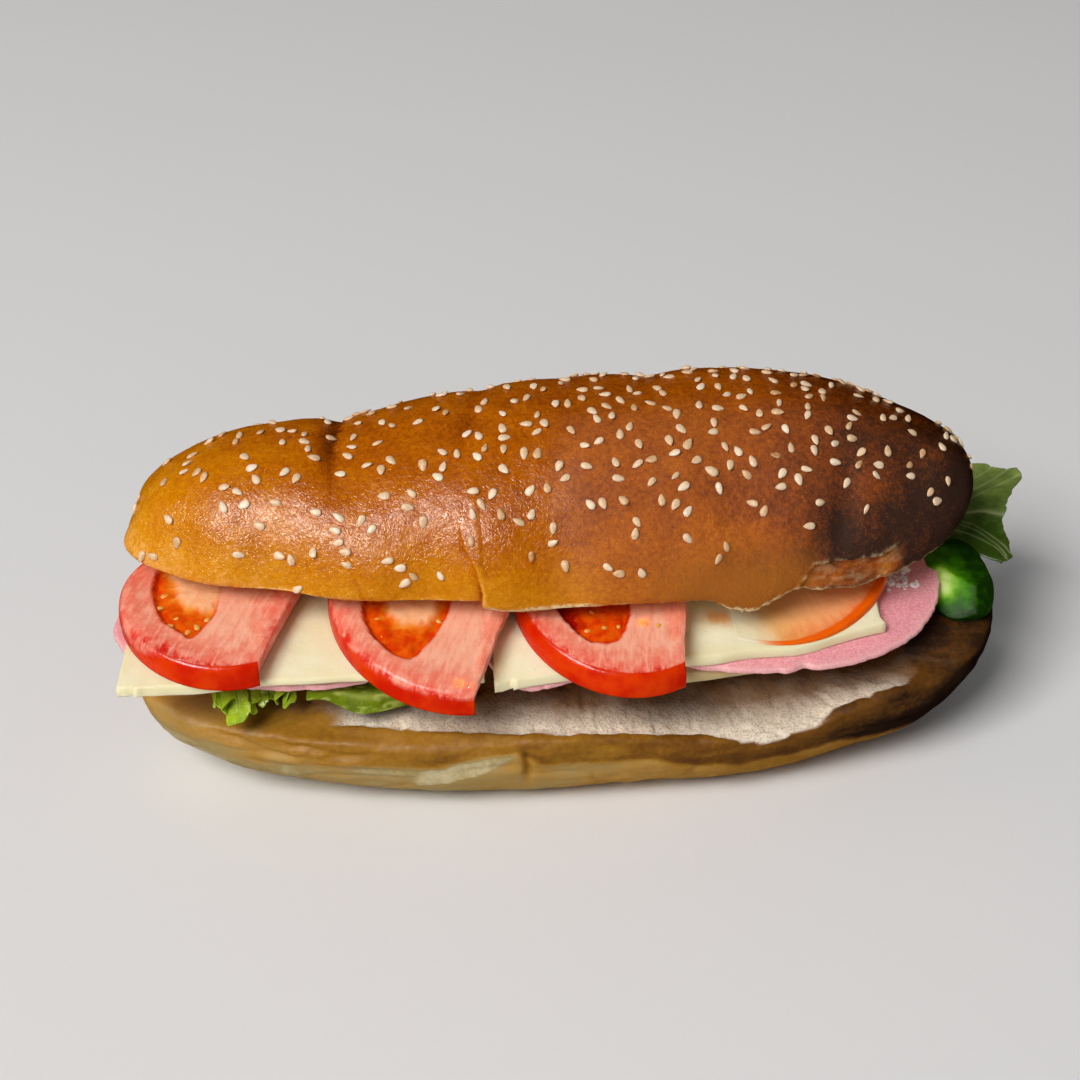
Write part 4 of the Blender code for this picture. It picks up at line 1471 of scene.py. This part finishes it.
def build_frill(look):
    """Small curls of lettuce edge on the shoulder of the heel."""
    u, v = leaf_grid(400, 74)
    out = step(0.2, 0, v)
    x = -82.5 + 19 * u
    lobes = np.clip(bell(0.32, 0.21, u) + 0.85 * bell(0.88, 0.09, u), 0, 1)
    y = -17.5 + 52 * v - 5 * out - 1 * out * lobes
    z = under_z(y) + 0.4 * np.sin(9 * u) - 1.2 * out - 1.6 * out * bell(0.32, 0.18, u)
    line = flat_spots(20 * u, 0 * u)
    wander = noise(line, 3.1, 105, 2)
    size = 1.75 * out**1.4 * (0.2 + 0.9 * lobes) * (1 + 0.5 * noise(line, 1.7, 106, 2))
    wave = 2 * PI * 6.2 * u + 2.4 * wander
    z = z + size * 0.95 * np.sin(wave) - 1.5 * out * (1 - lobes)
    y = y - size * np.cos(wave + 0.6) + 2.6 * out * (1 - lobes)
    x = x + 0.8 * size * np.sin(1.5 * wave + 1)
    teeth = 0.22 * np.sin(2 * PI * 23 * u + 2 * wander) * step(0.07, 0, v)
    points = np.stack([x, y - teeth, z - 0.5 * teeth], -1)
    shake = np.stack([noise(points, 1.6, seed, 2) for seed in (101, 103, 104)], -1)
    points = points + 0.4 * out[..., None] * shake
    rib = bell(0.36, 0.02, u) * step(0.4, 0.1, v)
    vein = rib + 0.5 * bell(0, 0.12, np.sin(40 * u + 6 * v)) * step(0.5, 0, v)
    # lighter at the front edge, darker behind it: painted shade under the filling
    tone = 0.15 + 0.75 * step(0.16, 0, v) + 0.25 * noise(points, 3, 102)
    values = {"tone": tone, "vein": 0.6 * np.clip(vein, 0, 1)}
    add_leaf("lettuce_frill_leaf", points, look, "lettuce_frill", values, 0.3)


def build_fold(look):
    """Folded leaf under the left tomato slices, with a turned-down lip."""
    u, v = leaf_grid(130, 90)
    edge = step(0.25, 0, v)
    x = -57 + 29 * u - 4 * edge * (1 - u)
    start = step(0.38, 0, u)
    y = -27.5 + 62 * v + 3.5 * edge * u + 3.2 * start * edge
    z = under_z(y) + 0.4 * np.sin(8 * u + 3 * v) - 2.6 * edge * (1 - 0.75 * start)
    tip = np.clip((0.1 - v) / 0.1, 0, 1) * (1 - 0.6 * start)
    z = z + 1.3 * np.sin(PI * np.clip(tip, 0, 1)) - 1 * tip
    y = y + 1 * tip**2 + 0.5 * tip * np.sin(11 * u)
    points = np.stack([x, y, z], -1)
    points[..., 2] += 0.3 * noise(points, 4, 111, 2)
    streaks = noise(np.stack([x * 0.25, y, z], -1), 0.7, 112, 2)
    vein = 0.55 * step(0.15, 0.6, streaks) * step(0.22, 0.04, v) + 0.4 * bell(0.05, 0.012, v)
    # lighter at the lip, darker behind it: painted shade under the filling
    tone = 0.22 + 0.55 * step(0.2, 0, v) + 0.2 * noise(points, 5, 113)
    values = {"tone": tone, "vein": np.clip(vein, 0, 1)}
    add_leaf("lettuce_fold_leaf", points, look, "lettuce_fold", values, 0.6)


LEAF_EDGE = (
    (0, 107.5, 4.5, 37.5), (0.07, 110.5, -1.5, 37.5), (0.14, 114.6, 1.5, 37.5), (0.24, 114.4, 7.5, 39.5),
    (0.38, 115, 11.5, 41.5), (0.52, 117.6, 17, 43.5), (0.63, 121.4, 22, 44), (0.7, 124.6, 26.5, 43.4),
    (0.77, 125.6, 31, 43.2), (0.84, 122.6, 35, 41.6), (0.92, 119, 37.5, 42.4), (1, 114.5, 39, 41.5),
)
RIBS = (
    (0.44, 0, 0.016), (0.4, -0.3, 0.009), (0.5, 0.3, 0.009), (0.34, -0.28, 0.007),
    (0.6, 0.28, 0.007), (0.24, -0.16, 0.006), (0.72, 0.22, 0.006),
)


def build_end_leaf(look):
    """Leaf that comes out of the right end, over the cucumber, and spreads behind it."""
    u, v = np.meshgrid(np.linspace(0, 1, 170), np.linspace(0, 1, 130), indexing="ij")
    at, *edge = np.array(LEAF_EDGE).T
    edge_x, edge_y, edge_z = (np.interp(v, at, line) for line in edge)
    inner_x, inner_y = 70 + 0 * v, 12 + 22 * v
    neck_x, neck_y, neck_z = 99 + 0 * v, 5.5 + 26 * v, 39.5 + 1.5 * np.sin(PI * v)
    first, second = np.clip(u / 0.5, 0, 1), np.clip((u - 0.5) / 0.5, 0, 1)
    x = np.where(u < 0.5, mixed(inner_x, neck_x, first), mixed(neck_x, edge_x, second))
    y = np.where(u < 0.5, mixed(inner_y, neck_y, step(0, 1, first)), mixed(neck_y, edge_y, second))
    z = np.where(u < 0.5, mixed(under_z(y), neck_z, step(0.35, 1, first)), mixed(neck_z, edge_z, second))
    points = np.stack([x, y, z], -1)
    ribs = np.zeros_like(x)
    for start, slope, width in RIBS:
        line = v - start - slope * (second - 0.2) + 0.01 * np.sin(14 * u)
        ribs = np.maximum(ribs, bell(0, width, line))
    pucker = noise(points, 3, 121, 2)
    waves = 0.7 * np.sin(9 * v + 2) * step(0.5, 1, second)
    points[..., 2] += second * (0.45 * pucker - 0.4 * ribs + waves)
    points[..., 0] += 0.7 * noise(points, 2.2, 123, 2) * step(0.85, 1, second)
    tone = 0.48 + 0.25 * noise(points, 5, 122, 2) + 0.15 * step(0.8, 1, second)
    # darker at the front and lighter at the back: painted shade on the front part
    tone = tone - 0.7 * step(24, 4, y) + 0.35 * step(22, 34, y)
    add_leaf("lettuce_end_leaf", points, look, "lettuce_end", {"tone": tone, "vein": 0.6 * ribs}, 0.6)


CUCUMBER_CENTRE = (97.2, -5, 28.2)
CUCUMBER_TOP, CUCUMBER_TOP_LEVELS = 0.7, 0.3  # level of the cut top's edge, and the share of the top
CUCUMBER_FACETS = (((-0.45, -0.62, 0.64), 10.6), ((0.6, -0.62, 0.5), 11.6), ((0.59, -0.46, -0.66), 5.4))


def build_cucumber(look):
    """Chunk of cucumber with three trimmed faces."""
    angles = np.linspace(-PI, PI, 150, endpoint=False)[:, None]
    top = np.linspace(CUCUMBER_TOP, 1, 26)[1:]
    levels = np.concatenate([np.linspace(0, CUCUMBER_TOP, 40), top])[None, :]

    def shape(detailed):
        half_x, half_y, power, tall = (8.2, 12.4, 3, 11.4) if detailed else (9.5, 13.5, 2.4, 9)
        x, y = oval(angles, half_x, half_y, power)
        side = levels < CUCUMBER_TOP
        belly = np.clip(levels / CUCUMBER_TOP, 0, 1) * PI / 2
        reach = np.where(side, np.sin(belly) ** 0.8, (1 - levels) / CUCUMBER_TOP_LEVELS)
        height = np.where(side, tall * (1 - np.cos(belly)), tall)
        if detailed:
            reach = reach * (1 - 0.08 * np.exp(-np.abs(levels - CUCUMBER_TOP) / 0.03))
            height = height + 0.9 * np.sin(PI * np.clip(1 - reach, 0, 1)) * (levels > CUCUMBER_TOP)
        tilt = -0.1 * x * reach + 0.12 * y * reach
        spots = np.stack([x * reach, y * reach, height + tilt + 0 * x], -1)
        if detailed:
            for facing, far in CUCUMBER_FACETS:
                facing = unit(np.array(facing))
                beyond = np.maximum(spots @ facing - far, 0)
                spots = spots - 0.92 * beyond[..., None] * facing
        return spots + np.array(CUCUMBER_CENTRE)

    points = shape(True) + anchor(shape(False), "cucumber_end")
    points[..., 0] += 0.8
    normals = grid_normals(points)
    points = points + normals * (0.25 * noise(points, 4, 131, 2))[..., None]
    x, y, z = np.moveaxis(points, -1, 0)
    flesh = np.exp(-(((x - 93.4) / 3) ** 2 + ((y + 8.5) / 4) ** 2)) * step(32, 37, z)
    tone = 0.8 + 0.2 * step(-7, -12, y) * step(37, 33, z) - 0.74 * flesh
    tone = tone + 0.3 * step(97, 103, x) + 0.18 * step(0, 7, y) + 0.08 * noise(points, 3, 132, 2)
    values = {"tone": np.clip(tone, 0, 1)}
    add_rings("cucumber_piece", points, look, "cucumber", ("cucumber_end",), values)


# ---------------------------------------------------------------- small loose things


def lump(rng, spot, size, squash=(1, 1, 1), rough=0.35):
    """Small uneven blob as points on a closed grid."""
    around, levels = 14, 10
    angle = np.linspace(-PI, PI, around, endpoint=False)[:, None]
    level = np.linspace(-PI / 2, PI / 2, levels)[None, :]
    ball_x, ball_y = np.cos(level) * np.cos(angle), np.cos(level) * np.sin(angle)
    ball = np.stack([ball_x, ball_y, np.sin(level) + 0 * angle], -1)
    push = 1 + rough * noise(ball + rng.uniform(-50, 50, 3), 0.9, 141, 2)
    return np.array(spot) + ball * push[..., None] * size * np.array(squash)


CRUMB_CLUSTERS = (
    (80.5, -5.5, 4, 1.5, 34), (83.5, -9, 2.6, 1.1, 18), (78.5, -9.5, 2.2, 1.3, 16),
    (86, -9.5, 1.8, 0.8, 8), (75.5, -6, 2, 1.2, 14),
)
DROPS = ((-27.4, -36.6, 1.9, 0.6), (-25.2, -37.2, 1.4, 0.6), (16.1, -25.3, 1.7, 0.7), (44.6, -20.2, 1, 0.45))


def build_crumbs(look):
    """Loose crumbs on the right salami slice: each cluster has a middle, a spread, a size and a count."""
    rng = np.random.default_rng(23)
    grids = []
    for middle_x, middle_y, spread, big, count in CRUMB_CLUSTERS:
        for _ in range(count):
            x = rng.normal(middle_x, spread * 0.5)
            y = rng.normal(middle_y, spread * 0.5)
            size = abs(rng.normal(0.36, 0.26)) * big * 0.75 + 0.2
            z = filling_z(y) + SALAMI_TOP + size * 0.6 + rng.uniform(0, 0.5)
            grids.append(lump(rng, (x, y, z), size, (1, 1, 0.8), 0.6))
    add_piece("loose_crumbs", *joined(grids), look, "bread")


def build_pips(look):
    """Tomato pips, half sunk in the jelly or lying on the flesh."""
    rng = np.random.default_rng(31)
    shape, _ = seed_template()
    grids = []
    for name, spots in PIPS.items():
        for x, y in spots:
            turn = rng.uniform(0, 2 * PI)
            ahead = np.array([math.cos(turn), math.sin(turn), 0.08 * rng.normal()])
            aside = np.cross((0, 0, 1), ahead)
            size = rng.normal(2, 0.15)
            on_flesh = name == "tomato_3" and x > 15
            x, y = np.array((x, y)) + LOWERED
            z = tomato_top(y, VISIBLE_THICK) + (0.25 if on_flesh else -0.5)
            grid = shape * size * np.array([1, 1.1, 1.4])
            grids.append(turned(grid, ahead, aside, np.array([0, 0, 1])) + np.array([x, y, z]))
    add_piece("tomato_pips", *joined(grids), look, "tomato")


def build_drops(look):
    """Drops of juice: three on thick tomato slices, and the last one on the right cheese slice."""
    rng = np.random.default_rng(37)
    grids = []
    for x, y, size, tall in DROPS:
        thick = -GAP
        if x < 30:
            x, y = np.array((x, y)) + LOWERED
            thick = VISIBLE_THICK
        grids.append(lump(rng, (x, y, tomato_top(y, thick)), size, (1, 0.9, tall), 0.15))
    add_piece("juice_drops", *joined(grids), look, "tomato")


# ---------------------------------------------------------------- build everything

crust = crust_look()
scatter_seeds(*build_crown(crust), seed_look())
build_heel(heel_look())

thick_tomato = tomato_look("tomato")
for slice_numbers in TOMATOES[:3]:
    build_tomato(*slice_numbers, thick_tomato)
build_thin_tomato(*TOMATOES[3], thin_tomato_look())

cheese = cheese_look("pale_cheese", rgb(245, 242, 210), rgb(238, 232, 192))
for slice_numbers in CHEESES[:2]:
    build_cheese(*slice_numbers, cheese)
# darker copy of the cheese colours: painted shade under the salami
build_cheese(*CHEESES[2], cheese_look("lower_cheese_painted_shade", rgb(206, 184, 140), rgb(190, 164, 116)))

salami = salami_look()
for slice_numbers in SALAMIS:
    build_salami(*slice_numbers, salami)

build_frill(leaf_look("frilled_lettuce", rgb(46, 68, 4), rgb(160, 188, 32), rgb(206, 220, 130)))
build_fold(leaf_look("folded_lettuce", rgb(34, 56, 2), rgb(112, 134, 20), rgb(184, 194, 100), 0.24))
build_end_leaf(leaf_look("end_lettuce", rgb(58, 84, 18), rgb(134, 152, 76), rgb(176, 184, 128)))
build_cucumber(cucumber_look())
build_crumbs(crumb_look())
build_pips(pip_look())
build_drops(drop_look())

# ---------------------------------------------------------------- floor, light and camera

FLOOR_REACH = 6
AIM_HEIGHT, VIEW_DISTANCE = 0.04, 0.48
AZIMUTH, ELEVATION = math.radians(-9), math.radians(35)
AIM_UP, AIM_LEFT = 0.0119, 0.0038  # where the camera points, seen from the height it stands off

low, high = (Vector(corner) for corner in CAD_BOX)
middle = (low + high) / 2

floor_mesh = bpy.data.meshes.new("floor")
floor_corners = [(FLOOR_REACH * x, FLOOR_REACH * y, 0) for x, y in ((-1, -1), (1, -1), (1, 1), (-1, 1))]
floor_mesh.from_pydata(floor_corners, [], [(0, 1, 2, 3)])
floor = bpy.data.objects.new("floor", floor_mesh)
bpy.context.scene.collection.objects.link(floor)
floor_look = Look("pale_floor", roughness=0.7, specular=0.2)
floor_colour = floor_look.mix(floor_look.noise(400, 2), rgb(229, 229, 229), rgb(232, 232, 233))
floor_look.set("Base Color", floor_colour)
floor_mesh.materials.append(floor_look.material)
floor.visible_glossy = False

world = bpy.data.worlds.new("studio")
world.use_nodes = True
backdrop = world.node_tree.nodes["Background"]
backdrop.inputs["Color"].default_value = (0.85, 0.85, 0.86, 1)
backdrop.inputs["Strength"].default_value = 0.21
world.cycles_visibility.glossy = False
bpy.context.scene.world = world


def add_light(name, direction, distance, size, power, colour=(1, 1, 1)):
    """Soft light, that wide and high, that looks at the sandwich from that direction."""
    data = bpy.data.lights.new(name, "AREA")
    data.shape = "RECTANGLE"
    data.size, data.size_y = size
    data.energy = power
    data.color = colour
    lamp = bpy.data.objects.new(name, data)
    toward = Vector(direction).normalized()
    lamp.location = middle + toward * distance
    lamp.rotation_mode = "QUATERNION"
    lamp.rotation_quaternion = toward.to_track_quat("Z", "Y")
    bpy.context.scene.collection.objects.link(lamp)
    return lamp


key = add_light("key", (-0.51, -0.46, 0.73), 3, (1.5, 1.5), 84, (1, 0.975, 0.95))
key.visible_glossy = False
gloss = add_light("gloss", (-0.56, -0.63, 0.58), 1.3, (0.56, 0.24), 80, (1, 0.975, 0.96))
gloss.visible_diffuse = False

camera_data = bpy.data.cameras.new("camera")
camera_data.lens = 67
camera_data.sensor_width = 36
camera_data.clip_start, camera_data.clip_end = 0.01, 50
camera = bpy.data.objects.new("camera", camera_data)
level_out = math.cos(ELEVATION)
backwards = Vector((math.sin(AZIMUTH) * level_out, -math.cos(AZIMUTH) * level_out, math.sin(ELEVATION)))
sideways = Vector((math.cos(AZIMUTH), math.sin(AZIMUTH), 0))
upwards = backwards.cross(sideways)
base = Vector((0, 0, AIM_HEIGHT))
camera.location = base + backwards * VIEW_DISTANCE
aim = base + upwards * AIM_UP - sideways * AIM_LEFT
camera.rotation_mode = "QUATERNION"
camera.rotation_quaternion = (camera.location - aim).to_track_quat("Z", "Y")
bpy.context.scene.collection.objects.link(camera)
bpy.context.scene.camera = camera
bpy.context.scene.view_settings.view_transform = "Standard"
